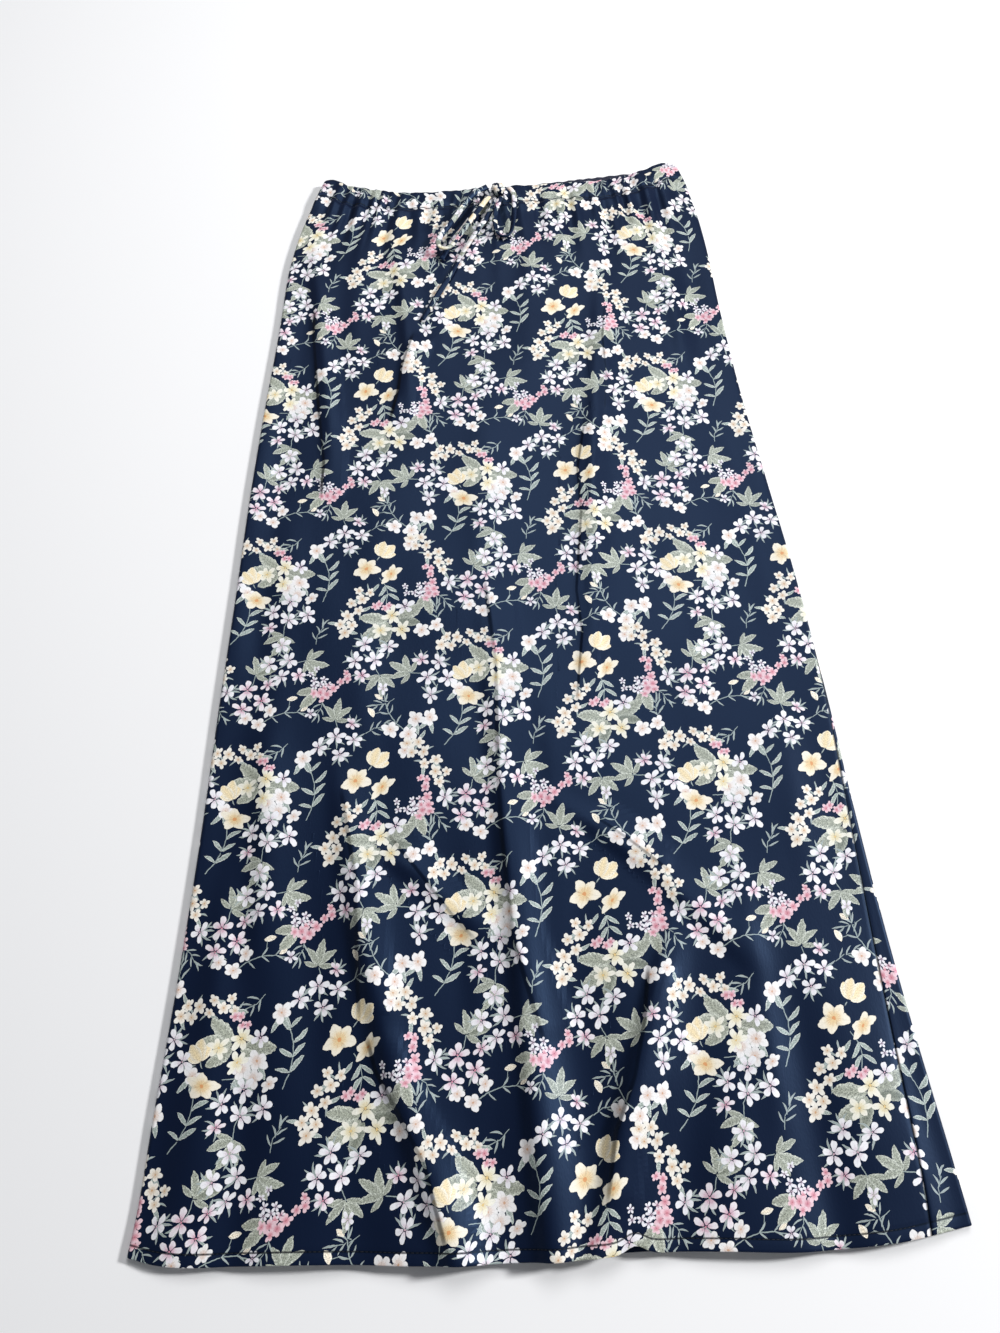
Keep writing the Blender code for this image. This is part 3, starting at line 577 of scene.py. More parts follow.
class SprayBook:
    # Collects the flowers and leaves of one repeat. A later one lies on top.
    def __init__(self):
        self.flowers = []
        self.leaves = []
        self.count = 0

    def seed(self):
        self.count += 1
        return (self.count * printTile["seedStep"]) % 1.0 * 0.9 + 0.05

    def flower(self, kind, place, across, turn, tilt=None):
        seed = self.seed()
        if tilt is None:
            tilt = 1.0 + printTile["tilt"] * (seed * 7.31 % 1.0) ** 2
        turn = turn + printTile["scatter"] * seed
        self.flowers.append((flowerNumber[kind], *place, turn, across / 2, tilt, seed))

    def leaf(self, kind, place, length, turn, seed=None):
        seed = self.seed() if seed is None else seed
        self.leaves.append((leafNumber[kind], *place, math.radians(turn), length, seed))


class Spray:
    # Where a spray is, its turn and its size. What it adds is given in its own measures.
    def __init__(self, book, middle, turn, size):
        self.book, self.middle, self.turn, self.size = book, middle, turn, size

    def place(self, dx, dy):
        c, s = math.cos(math.radians(self.turn)), math.sin(math.radians(self.turn))
        x, y = self.middle
        return x + self.size * (dx * c - dy * s), y + self.size * (dx * s + dy * c)

    def inner(self, dx, dy, turn, size=1.0):
        return Spray(self.book, self.place(dx, dy), self.turn + turn, self.size * size)

    def flower(self, kind, dx, dy, across, turn=0, tilt=None):
        self.book.flower(kind, self.place(dx, dy), across * self.size, self.turn + turn, tilt)

    def leaf(self, kind, dx, dy, length, turn):
        self.leafAt(kind, self.place(dx, dy), length, turn)

    def leafAt(self, kind, place, length, turn):
        self.book.leaf(kind, place, length * self.size, self.turn + turn)

    def stem(self, reach, bow, steps):
        # A bowed stem, as short straight pieces that meet. It gives back their joins.
        marks = [i / steps for i in range(steps + 1)]
        joins = [self.place(reach * t, bow * 4 * t * (1 - t)) for t in marks]
        for (ax, ay), (bx, by) in zip(joins, joins[1:]):
            turn = math.degrees(math.atan2(by - ay, bx - ax))
            self.book.leaf("stem", (ax, ay), math.hypot(bx - ax, by - ay) * 1.04, turn, 0.5)
        return joins


def palmLeaf(spray, shade):
    # Five veined leaflets from one point.
    for i, (angle, length) in enumerate(((-82, 11.5), (-42, 16.0), (1, 18.5), (45, 15.0), (84, 10.5))):
        spray.leaf("shadeLeaf" if shade and i == 1 else "leaflet", 0, 0, length, angle)


def phloxHead(spray, across, kind):
    # One flower over its thin sepals, which show between the petals.
    for angle in (-62, -22, 16, 55):
        spray.leaf("spike", 0, 0, 0.68 * across, angle)
    spray.flower(kind, 0, 0, across)


def phloxSpray(spray, pink):
    # Four or five narrow-petalled flowers that hang from a palmate leaf.
    palmLeaf(spray.inner(-12.5, -3.0, 178, 0.92), pink)
    spray.inner(-13.0, -3.0, 14).stem(15.0, 1.5, 2)
    heads = [(-0.5, 0.0, 13.8), (12.4, 5.8, 13.4), (0.6, 13.2, 13.0), (8.4, -10.2, 13.4), (-11.0, 9.4, 11.0)]
    for i, (dx, dy, across) in enumerate(heads):
        isPink = i != 3 if pink else i == 4
        phloxHead(spray.inner(dx, dy, 37 * i), across, "phloxPink" if isPink else "phloxWhite")


def rosette(spray, shade):
    # Broad leaves on both sides, and pale yellow stars and white flowers on them.
    for i, (angle, length) in enumerate(((14, 20.0), (-24, 15.5), (158, 19.0), (196, 20.5), (-128, 16.5))):
        kind = "shadeLeaf" if shade and i % 3 == 1 else "ovate"
        spray.inner(0, 0, angle).leaf(kind, 3.0, 0.0, length, 0)
    heads = [("starYellow", 0.5, 4.0, 14.0), ("starYellow", 4.0, -8.2, 13.6), ("phloxWhite", 10.6, 7.6, 12.4),
             ("starYellow", -9.4, -4.6, 12.6), ("blossom", 16.4, -13.0, 11.6), ("blossom", 26.6, -12.6, 9.8)]
    for i, head in enumerate(heads):
        spray.flower(*head, 50 * i)
    for i in range(4):
        dx, dy = -8.5 + 3.0 * i, 13.4 + 1.9 * math.sin(2.1 * i) - 0.6 * i
        spray.flower("coralFloret", dx, dy, 5.8 - 0.3 * i, 71 * i)


def sideCup(spray, across):
    # A buttercup seen from the side: four petals over a green cup.
    spray.leaf("spike", 0, 0, 0.3 * across, 180)
    for angle, share in ((-48, 0.70), (50, 0.66), (-14, 0.86), (22, 0.80)):
        spray.leaf("cupPetal", 0, 0, share * across, angle)


def buttercups(spray, both):
    for join in spray.inner(3.0, -9.0, -100).stem(20, 3, 3)[1:3]:
        for side in (-1, 1):
            spray.leafAt("lance", join, 9.5, side * 42 - 100)
    sideCup(spray.inner(11.0, 6.5, 30), 15.0)
    if both:
        spray.flower("buttercup", 11.5, -9.5, 18.0, 80, 1.55)
    spray.flower("buttercup", -2.0, 1.5, 20.0)


def coralCluster(spray):
    # Tiny florets, coral low down and white at the top, with two leaves and a sprig.
    for angle, length in ((-150, 14.0), (-108, 16.0)):
        spray.leaf("ovate", -2.0, -3.0, length, angle)
    tuft(spray.inner(4.0, -7.0, -82, 0.9))
    for i in range(11):
        ring, around = 2.35 * math.sqrt(i + 0.3), 2.399 * i
        dx, dy = 1.15 * ring * math.cos(around), ring * math.sin(around)
        low = dx - 0.8 * dy
        kind = "coralFloret" if low > 0.5 else ("phloxPink" if low > -3.0 else "starFloret")
        spray.flower(kind, dx, dy, 5.8 + 0.8 * (i % 3), 71 * i)
    for i, (dx, dy) in enumerate(((9.8, 8.6), (13.0, 12.0), (10.6, 15.6), (-12.0, 6.0), (-10.0, 11.0))):
        spray.flower("coralFloret" if i < 3 else "starFloret", dx, dy, 6.6 - 0.4 * i, 40 * i)


def creamTrail(spray):
    # Two clumps of cream florets on a bent line, small leaves among them.
    line = [(-15.0, 6.0), (-9.4, 1.6), (-8.6, 9.4), (-2.4, 4.8), (1.6, -2.2), (7.4, 3.0), (10.4, -4.2),
            (17.0, -1.6), (15.6, -9.4)]
    for i, (dx, dy) in enumerate(line[::2]):
        spray.leaf("lance", dx, dy, 9.0, (70 if i % 2 else -95) + 14 * i)
    for i, (dx, dy) in enumerate(line):
        spray.leaf("spike", dx, dy, 7.4, 137 * i)
        spray.flower("creamFloret", dx, dy, (10.2, 8.4, 9.2)[i % 3] - 0.22 * i, 53 * i)


def whiteSprig(spray):
    # A thin branch with blossoms, buds and small leaves.
    joins = spray.stem(36.0, 5.0, 4)
    Spray(spray.book, joins[2], spray.turn + 62, spray.size).stem(11.0, -1.5, 2)
    for i, join in enumerate(joins[1:4]):
        for side in (-1, 1):
            spray.leafAt("spike", join, 7.0, side * (54 - 8 * i))
    for dx, dy, across in ((-1.5, 0.0, 12.4), (7.6, 9.0, 11.6), (-10.6, 7.0, 10.4)):
        spray.flower("blossom", dx, dy, across, 31 * dx)
    spray.flower("starFloret", 37.0, 0.6, 9.0)
    for dx, dy, length in ((21.0, 15.0, 8.0), (30.0, 4.0, 6.5)):
        spray.leaf("creamBud", dx, dy, length, 3 * dx - 60)


def tuft(spray):
    spray.stem(13.0, 1.6, 2)
    for along, angle, length in ((3.0, 48, 7.0), (4.2, -46, 7.4), (7.4, 40, 7.0), (8.6, -38, 7.0),
                                 (12.0, 18, 7.6), (12.0, -14, 8.2)):
        spray.leaf("spike", along, 0.6, length, angle)


def vine(spray):
    # A curved stem with opposite leaves, two open cream blossoms beside it and one at its tip.
    for i, join in enumerate(spray.stem(40.0, -6.0, 5)[1:5]):
        for side, length in ((-1, 11.8 - 1.6 * (i % 2)), (1, 8.6 + 1.8 * (i % 2))):
            if (i, side) != (2, 1):
                spray.leafAt("lance", join, length - 0.5 * i, side * (58 - 7 * i) - 9 * (i - 1.5))
    for dx, dy, across in ((17.0, 15.0, 13.4), (14.0, 24.0, 12.4), (41.5, 1.0, 12.0)):
        for angle in (150, 205):
            spray.leaf("lance", dx, dy, 12.0, angle)
        spray.flower("blossom", dx, dy, across, 31 * dx)


# The repeat's chart: the spray, where its middle is, its turn and its size, and its own choice.
repeatChart = [
    (vine, 46, 34, 96, 1.24),
    (vine, 152, 92, 76, 1.20),
    (tuft, 26, 98, 215, 1.3),
    (tuft, 146, 10, 100, 1.3),
    (tuft, 42, 186, 70, 1.25),
    (tuft, 88, 104, 20, 1.2),
    (tuft, 110, 134, 200, 1.2),
    (whiteSprig, 122, 104, 118, 1.22),
    (whiteSprig, 2, 116, 10, 1.1),
    (creamTrail, 74, 22, 88, 1.25),
    (creamTrail, 136, 80, -24, 1.25),
    (creamTrail, 166, 184, 30, 1.15),
    (coralCluster, 134, 42, 34, 1.22),
    (coralCluster, 50, 146, -24, 1.22),
    (rosette, 106, 14, 16, 1.28, True),
    (rosette, 10, 64, -20, 1.26, False),
    (phloxSpray, 18, 18, 64, 1.22, False),
    (phloxSpray, 170, 50, 236, 1.22, True),
    (phloxSpray, 92, 170, 96, 1.22, False),
    (phloxSpray, 137, 152, -30, 1.22, False),
    (phloxSpray, 20, 172, 165, 1.18, False),
    (phloxSpray, 64, 102, 262, 1.15, False),
    (buttercups, 86, 64, 24, 1.26, True),
    (buttercups, 173, 136, 80, 1.20, False),
]


def chartRepeat():
    book = SprayBook()
    for makeSpray, x, y, turn, size, *choice in repeatChart:
        makeSpray(Spray(book, (x, y), turn, size), *choice)
    return book


# The shapes of petals and leaves, for the functions below and for the shader groups that repeat them.
petalForm = {"wobble": 0.13, "wobbleSeed": 40.0, "stretch": 0.13, "stretchSeed": 23.0}
leafForm = {"hump": 4.0, "leastHump": 0.000001, "base": -0.02, "tip": 1.02}


def insideFlower(u, v, kind, seed, grow):
    count, middle, long, wide, widen, eye = flowerKinds[kind][1:7]
    sector = 2 * math.pi / count
    angle = np.arctan2(v, u)
    turn = np.round(angle / sector) * sector     # of the petal that the place belongs to, in radians
    apart = angle - turn - petalForm["wobble"] * np.sin(2 * turn + petalForm["wobbleSeed"] * seed)
    stretch = 1 + petalForm["stretch"] * np.sin(3 * turn + petalForm["stretchSeed"] * seed)
    radius = np.hypot(u, v)
    q = (radius * np.cos(apart) * stretch - middle) / long
    share = radius * np.sin(apart) / (wide * (1 + widen * q))
    return (1 - q * q - share ** 2 > -grow) | (radius < eye + 0.1 * grow)


def insideLeaf(u, v, kind, seed, grow):
    wide, blunt, bend = leafKinds[kind][1:4]
    hump = np.clip(leafForm["hump"] * u * (1 - u), leafForm["leastHump"], 1)
    middle = v - (seed - 0.5) * 2 * bend * hump
    inside = (u > leafForm["base"] - 0.3 * grow) & (u < leafForm["tip"] + 0.3 * grow)
    return inside & (np.abs(middle) < wide * hump ** blunt + 0.12 * grow)


def motifTable(rows, flowers):
    # Middles, turns, how far each motif reaches, sizes, tilts and seeds, as columns.
    made = []
    for row in rows:
        if flowers:
            kind, x, y, turn, size, tilt, seed = row
            reach = size * printTile["flowerReach"]
            made.append((kind, x, y, math.radians(turn), reach, size, 0.0, tilt, seed))
        else:
            kind, x, y, turn, length, seed = row
            x, y = x + length / 2 * math.cos(turn), y + length / 2 * math.sin(turn)
            made.append((kind, x, y, turn, length * printTile["leafReach"], length, 0.5, 1.0, seed))
    names = ("kind", "x", "y", "turn", "reach", "size", "start", "tilt", "seed")
    return {name: np.array(column, float) for name, column in zip(names, zip(*made))}


print("charting the repeat")
sprayBook = chartRepeat()
# Each group's motifs, the function that tells what is inside one, and how much its stray counts.
motifs = {
    "flower": (motifTable(sprayBook.flowers, True), insideFlower, 3),
    "leaf": (motifTable(sprayBook.leaves, False), insideLeaf, 8),
}
inkNames = {
    "flower": ["flowerTop", "flowerMiddle", "flowerUnder"],
    "leaf": ["leafTop", "leafMiddle", "leafUnder"],
}


def wrapped(dx, dy):
    # The nearest copy of a place in the half-drop repeat.
    wide, high = printTile["width"], printTile["height"]
    column = np.floor(dx / wide + 0.5)
    dx = dx - column * wide
    dy = dy - column * high / 2
    return dx, dy - np.floor(dy / high + 0.5) * high


def localPlace(dx, dy, table, at):
    c, s = np.cos(table["turn"][at]), np.sin(table["turn"][at])
    size = table["size"][at]
    return (dx * c + dy * s) / size + table["start"][at], (dy * c - dx * s) / size * table["tilt"][at]


def chooseInk(corners):
    # For each cell of the cloth, which flowers and leaves show in it, the topmost first.
    count, most = len(corners), printTile["most"]
    steps = np.linspace(*printTile["samples"])
    s, t = np.meshgrid(steps, steps)
    s, t = s.ravel()[None, :, None], t.ravel()[None, :, None]
    a, b, c, d = (corners[:, i][:, None] for i in range(4))
    places = a * (1 - s) * (1 - t) + b * s * (1 - t) + c * s * t + d * (1 - s) * t
    middle = corners.mean(1)
    radius = np.linalg.norm(corners - middle[:, None], axis=2).max(1)
    covered = np.zeros(places.shape[:2], bool)
    chosen = {}
    for group, (table, inside, stray) in motifs.items():
        found = np.full((count, most), -1)
        score = np.zeros((count, most), int)
        filled = np.zeros(count, int)
        for e in range(len(table["x"]) - 1, -1, -1):
            dx, dy = wrapped(middle[:, 0] - table["x"][e], middle[:, 1] - table["y"][e])
            hits = np.flatnonzero(np.hypot(dx, dy) < table["reach"][e] + radius)
            if not len(hits):
                continue
            at = places[hits] - middle[hits][:, None]
            u, v = localPlace(at[..., 0] + dx[hits][:, None], at[..., 1] + dy[hits][:, None], table, e)
            kind, seed = int(table["kind"][e]), table["seed"][e]
            exact = inside(u, v, kind, seed, 0.0)
            grown = inside(u, v, kind, seed, stray * (printTile["stray"] / table["size"][e]))
            bare = ~covered[hits]
            amount = 4 * (exact & bare).sum(1) + (grown & bare).sum(1)
            wanted = (amount > 0) & (filled[hits] < most)
            cells = hits[wanted]
            found[cells, filled[cells]] = e
            score[cells, filled[cells]] = amount[wanted]
            filled[cells] += 1
            covered[hits] |= exact
        best = np.argsort(-score, axis=1, kind="stable")[:, :len(inkNames[group])]
        chosen[group] = np.take_along_axis(found, np.sort(best, axis=1), axis=1)
    return chosen


def writeLayer(mesh, name, domain, values):
    layer = mesh.attributes.new(name, "FLOAT_VECTOR", domain)
    layer.data.foreach_set("vector", np.asarray(values, np.float32).ravel())


def writeInk(mesh, fabric, around):
    # fabric is each vertex's place on the flat cloth, in millimetres. All faces have four corners.
    # around is the girth of a closed tube, whose last cells pass its join, or nothing.
    loops = np.empty(len(mesh.loops), np.int32)
    mesh.loops.foreach_get("vertex_index", loops)
    corners = fabric[loops].reshape(-1, 4, 2)
    if around:
        low = corners[..., 0].max(1) - corners[..., 0].min(1) > around / 2
        corners[..., 0] += around * (low[:, None] & (corners[..., 0] < around / 2))
    middle = corners.mean(1)
    at = corners - middle[:, None]
    chosen = chooseInk(corners)
    for group, (table, *_) in motifs.items():
        for e, name in zip(chosen[group].T, inkNames[group]):
            used = e >= 0
            e = np.where(used, e, 0)
            dx, dy = wrapped(middle[:, 0] - table["x"][e], middle[:, 1] - table["y"][e])
            u, v = localPlace(at[..., 0] + dx[:, None], at[..., 1] + dy[:, None], table, e[:, None])
            code = np.broadcast_to((table["kind"][e] + table["seed"][e])[:, None], u.shape)
            place = np.stack([u, v, code], axis=2)
            place[~used] = printTile["noInk"]
            writeLayer(mesh, name, "CORNER", place)


def linkPiece(name, mesh, materials):
    for material in materials:
        mesh.materials.append(material)
    mesh.shade_smooth()
    piece = bpy.data.objects.new(name, mesh)
    bpy.context.scene.collection.objects.link(piece)
    return piece


def printedPiece(name, points, left, right, fabric, materials, around=None):
    # Cells between the columns of points numbered in left and those numbered in right.
    quads = np.stack([left[:-1], right[:-1], right[1:], left[1:]], axis=2).reshape(-1, 4)
    mesh = bpy.data.meshes.new(name)
    mesh.from_pydata(points.tolist(), [], quads.tolist())
    mesh.update()
    writeInk(mesh, fabric, around)
    print(name, len(quads), "cells")
    return linkPiece(name, mesh, materials)


def runAlong(points):
    return np.concatenate([[0], np.cumsum(np.linalg.norm(np.diff(points, axis=0), axis=1))])


def clothPiece(name, rows, heights, offset, inside=(), creased=False):
    # A piece of cloth on rows of points at the given heights. offset is the print's place on it, and
    # the rows numbered in inside show the cloth's other side.
    wide = len(rows[0])
    points = np.concatenate(rows)
    more, low, high = printTile["eased"]
    fabric, sewing = [], []
    for row, level in zip(rows, heights):
        run = runAlong(row[:, [0, 2]])
        sewing.append(np.stack([run, run[-1] - run, np.full(wide, level)], axis=1))
        eased = 1.0 + more * smooth(row[:, 1], low, high)
        fabric.append(np.stack([(run - run[-1] / 2) * eased, row[:, 1]], axis=1) * 1000 + offset)
    index = np.arange(len(points)).reshape(len(rows), wide)
    piece = printedPiece(name, points + (*shift, 0.0), index[:, :-1], index[:, 1:],
                         np.concatenate(fabric), [shadedSatin, reverse])
    turned = np.isin(np.arange(len(rows) - 1), list(inside)).astype(np.int32)
    piece.data.polygons.foreach_set("material_index", np.repeat(turned, wide - 1))
    writeLayer(piece.data, "sewing", "POINT", np.concatenate(sewing))
    if creased:
        off, strength = creaseAt(points[:, 0], points[:, 1])
        writeLayer(piece.data, "crease", "POINT", np.stack([off, strength, np.zeros(len(points))], axis=1))
    wall = piece.modifiers.new("wall", "SOLIDIFY")
    wall.thickness = cloth["thickness"]
    wall.offset = -1.0
    wall.use_even_offset = True
    wall.material_offset = 1
    return piece


def srgb(colour):
    return [((c / 255 + 0.055) / 1.055) ** 2.4 if c > 10 else c / 255 / 12.92 for c in colour]


class Value:
    # A socket to reckon with: each sign adds a math node to its tree.
    def __init__(self, wires, socket):
        self.wires, self.socket = wires, socket

    def __add__(self, other):
        return self.wires.sum("ADD", self, other)

    def __sub__(self, other):
        return self.wires.sum("SUBTRACT", self, other)

    def __rsub__(self, other):
        return self.wires.sum("SUBTRACT", other, self)

    def __mul__(self, other):
        return self.wires.sum("MULTIPLY", self, other)

    def __truediv__(self, other):
        return self.wires.sum("DIVIDE", self, other)

    def __rtruediv__(self, other):
        return self.wires.sum("DIVIDE", other, self)

    def __gt__(self, other):
        return self.wires.sum("GREATER_THAN", self, other)

    def __lt__(self, other):
        return self.wires.sum("LESS_THAN", self, other)

    def __abs__(self):
        return self.wires.sum("ABSOLUTE", self)


class Wires:
    # Short ways to add nodes to a tree and join them.
    def __init__(self, tree):
        self.tree = tree
        self.count = 0

    def feed(self, node, feeds):
        # feeds names a node's inputs, and gives each a value, a socket or a constant.
        for name, value in feeds.items():
            value = value.socket if isinstance(value, Value) else value
            if isinstance(value, bpy.types.NodeSocket):
                self.tree.links.new(value, node.inputs[name])
            else:
                node.inputs[name].default_value = value

    def add(self, kind, feeds=None, **settings):
        node = self.tree.nodes.new(kind)
        self.count += 1
        node.location = (160 * (self.count % 24), -220 * (self.count // 24))
        for name, value in settings.items():
            setattr(node, name, value)
        self.feed(node, feeds or {})
        return node

    def make(self, output, kind, feeds=None, **settings):
        return Value(self, self.add(kind, feeds, **settings).outputs[output])

    def sum(self, operation, *values):
        return self.make(0, "ShaderNodeMath", dict(enumerate(values)), operation=operation)

    def mix(self, share, low, high):
        return self.make(2, "ShaderNodeMix", {0: share, 6: low, 7: high}, data_type="RGBA")

    def dim(self, colour, share):
        # A colour times a value.
        return self.make(0, "ShaderNodeVectorMath", {0: colour, 3: share}, operation="SCALE")

    def ease(self, value, low, high):
        feeds = {0: value, 1: low, 2: high}
        return self.make(0, "ShaderNodeMapRange", feeds, interpolation_type="SMOOTHSTEP")

    def noise(self, output, place, scale, detail):
        return self.make(output, "ShaderNodeTexNoise", {"Vector": place, "Scale": scale, "Detail": detail})

    def steps(self, at, colours):
        # A row of plain colours, one for each kind.
        node = self.add("ShaderNodeValToRGB", {0: at})
        node.color_ramp.interpolation = "CONSTANT"
        elements = node.color_ramp.elements
        while len(elements) < len(colours):
            elements.new(0.5)
        for i, colour in enumerate(colours):
            elements[i].position = i / len(colours)
        for i, colour in enumerate(colours):
            elements[i].color = (*colour, 1.0)
        return node.outputs[0]

    def parts(self, vector, kind="ShaderNodeSeparateXYZ"):
        return [Value(self, output) for output in self.add(kind, {0: vector}).outputs]

    def numbers(self, at, rows):
        # Three numbers of each kind, kept as the parts of a colour.
        return self.parts(self.steps(at, rows), "ShaderNodeSeparateColor")

    def stored(self, name):
        return self.add("ShaderNodeAttribute", attribute_name=name).outputs["Vector"]

    def bump(self, height, distance, strength=1.0, under=None):
        feeds = {"Height": height, "Distance": distance, "Strength": strength}
        if under:
            feeds["Normal"] = under
        return self.make(0, "ShaderNodeBump", feeds)


def newGroup(name, inputs, outputs, family="Shader"):
    # The group's tree, its wires, its inputs by name and its output node.
    tree = bpy.data.node_groups.new(name, family + "NodeTree")
    for way, sockets in (("INPUT", inputs), ("OUTPUT", outputs)):
        for label, kind in sockets:
            tree.interface.new_socket(name=label, in_out=way, socket_type="NodeSocket" + kind)
    w = Wires(tree)
    given = {socket.name: Value(w, socket) for socket in w.add("NodeGroupInput").outputs}
    return tree, w, given, w.add("NodeGroupOutput")


# How unevenly the print is painted.
paint = {
    "flowerStray": 0.19, "leafStray": 0.10, "strayScale": 330.0,      # edges, for the motif's size
    "stippleScale": 1500.0, "leafStipple": 2.6, "flowerMottle": 0.30,
    "petalFade": (0.08, 0.82),        # from the base's colour to the tip's
    "strokes": 0.42, "strokeCount": 21.0, "strokeSeed": 50.0, "strokeReach": 0.42, "strokeBreak": 0.35,
    "overlapAt": 0.43, "overlap": -0.16,      # where petals lie over each other, and how much darker
    "ribWide": 0.10, "rib": -0.07,
    "rimDeep": 0.16, "rim": -0.09,
    "flowerTone": (17.3, 0.12, 0.90), "leafTone": (11.9, 0.16, 0.90),     # seed, spread, least
    "veins": 7.0, "veinSlant": 0.8, "veinWide": 0.12, "midribWide": 0.08,
    "veinLight": 0.34, "leafLight": 0.98,
}
inkSockets = [("Place", "Vector"), ("Stray", "Vector"), ("Stipple", "Float")]
inkResults = [("Colour", "Color"), ("Ink", "Float")]


def motifPlace(w, given, count, stray):
    # A motif's own place, its seed, and where its kind is along a row of steps.
    feeds = {0: given["Stray"], 1: (stray, stray, 0.0), 2: given["Place"]}
    u, v, code = w.parts(w.make(0, "ShaderNodeVectorMath", feeds, operation="MULTIPLY_ADD"))
    return u, v, w.sum("FRACT", code), (w.sum("FLOOR", code) + 0.5) / float(count)


def ownTone(w, seed, plan):
    scatter, spread, least = plan
    return w.sum("FRACT", seed * scatter) * spread + least


def flowerInkGroup():
    # One printed flower: the same shape as insideFlower.
    tree, w, given, result = newGroup("flowerInk", inkSockets, inkResults)
    u, v, seed, at = motifPlace(w, given, len(flowerKinds), paint["flowerStray"])
    middle, long, wide = w.numbers(at, [row[2:5] for row in flowerKinds])
    widen, eye, petals = w.numbers(at, [(row[5] / 2 + 0.5, row[6], row[1] / 10) for row in flowerKinds])
    tip, base, eyeColour = (w.steps(at, [srgb(row[i]) for row in flowerKinds]) for i in (7, 8, 9))
    sector = 2 * math.pi / 10 / petals     # petals are kept as tenths
    angle = w.sum("ARCTAN2", v, u)
    turn = w.sum("ROUND", angle / sector) * sector
    wobble = w.sum("SINE", turn * 2.0 + seed * petalForm["wobbleSeed"])
    apart = angle - turn - wobble * petalForm["wobble"]
    stretch = w.sum("SINE", turn * 3.0 + seed * petalForm["stretchSeed"]) * petalForm["stretch"] + 1.0
    radius = w.sum("SQRT", u * u + v * v)
    along = radius * w.sum("COSINE", apart) * stretch
    across = radius * w.sum("SINE", apart)
    q = (along - middle) / long
    share = across / (wide * ((widen * 2.0 - 1.0) * q + 1.0))
    depth = 1.0 - q * q - share * share
    inEye = radius < eye
    colour = w.mix(w.ease(radius, *paint["petalFade"]), base, tip)
    # fine strokes out of the eye, a darker line where petals overlap, a middle rib, a soft rim and
    # a tone of its own for each flower
    strokes = w.sum("SINE", angle * paint["strokeCount"] + seed * paint["strokeSeed"]) > 0.1
    strokes = strokes * (given["Stipple"] * paint["strokeBreak"] + radius < paint["strokeReach"])
    colour = w.mix(strokes * paint["strokes"], colour, eyeColour)
    overlap = abs(across) > along * w.sum("TANGENT", sector * paint["overlapAt"])
    tone = ownTone(w, seed, paint["flowerTone"])
    for part, depthen in ((overlap, "overlap"), (abs(share) < paint["ribWide"], "rib"),
                          (depth < paint["rimDeep"], "rim"), (given["Stipple"], "flowerMottle")):
        tone = tone * (part * paint[depthen] + 1.0)
    w.feed(result, {0: w.mix(inEye, w.dim(colour, tone), eyeColour), 1: w.sum("MAXIMUM", depth > 0.0, inEye)})
    return tree


def leafInkGroup():
    # One printed leaf, stem or side-on petal: the same shape as insideLeaf.
    tree, w, given, result = newGroup("leafInk", inkSockets, inkResults)
    u, v, seed, at = motifPlace(w, given, len(leafKinds), paint["leafStray"])
    wide, blunt, bend = w.numbers(at, [row[1:4] for row in leafKinds])
    veins = w.numbers(at, [(row[4], 0, 0) for row in leafKinds])[0]
    body, edge = (w.steps(at, [srgb(row[i]) for row in leafKinds]) for i in (5, 6))
    hump = w.sum("MAXIMUM", u * leafForm["hump"] * (1.0 - u), leafForm["leastHump"])
    hump = w.sum("MINIMUM", hump, 1.0)
    middle = abs(v - (seed * 2.0 - 1.0) * bend * hump)
    share = middle / (wide * w.sum("POWER", hump, blunt))
    ink = (share < 1.0) * (u > leafForm["base"]) * (u < leafForm["tip"])
    sideVein = w.sum("FRACT", (u - middle * paint["veinSlant"]) * paint["veins"])
    vein = w.sum("MAXIMUM", abs(sideVein - 0.5) < paint["veinWide"], share < paint["midribWide"])
    tone = vein * veins * paint["veinLight"] + paint["leafLight"]
    tone = tone + given["Stipple"] * paint["leafStipple"] * veins
    tone = tone * ownTone(w, seed, paint["leafTone"])
    w.feed(result, {0: w.dim(w.mix(share * share, body, edge), tone), 1: ink})
    return tree


def gardenPrintGroup():
    # The whole print over its ground: leaves first, then flowers, the topmost last.
    names = inkNames["leaf"][::-1] + inkNames["flower"][::-1]
    sockets = [("Ground", "Color")] + [(name, "Vector") for name in names]
    tree, w, given, result = newGroup("gardenPrint", sockets, inkResults[:1])
    inks = {"leaf": leafInkGroup(), "flower": flowerInkGroup()}
    place = w.add("ShaderNodeTexCoord").outputs["Object"]
    wander = w.noise("Color", place, paint["strayScale"], 1.0)
    stray = w.make(0, "ShaderNodeVectorMath", {0: wander, 1: (0.5, 0.5, 0.5)}, operation="SUBTRACT")
    mottle = w.noise(0, place, paint["stippleScale"], 1.0) - 0.5
    colour = given["Ground"]
    for name in names:
        ink = inks["leaf" if name in inkNames["leaf"] else "flower"]
        motif = w.add("ShaderNodeGroup", {0: given[name], 1: stray, 2: mottle}, node_tree=ink)
        colour = w.mix(motif.outputs[1], colour, motif.outputs[0])
    w.feed(result, {0: colour})
    return tree


# The look of the satin and its thread; colours are from 0 to 255.
satin = {
    "ground": (11, 20, 43),
    "specularTint": (0.30, 0.54, 1.0),
    "specular": 0.31,
    "roughness": 0.46,
    "sheen": 0.02, "sheenRoughness": 0.4,
    "reverse": (20, 27, 50), "reverseRoughness": 0.68,
    "thread": (14, 18, 32), "threadRoughness": 0.6,
    "bump": 0.22, "bumpDistance": 0.0006,
    "fineScale": 950.0, "fineShare": 0.45,
    "softScale": 60.0, "ripple": 1.0,
    "threadStretch": (1.0, 0.35, 1.0),
    "seamShade": (0.0003, 0.0016), "rowShade": (0.00025, 0.0010),     # metres from the seam or row
    "shadeLeft": 0.18,
}


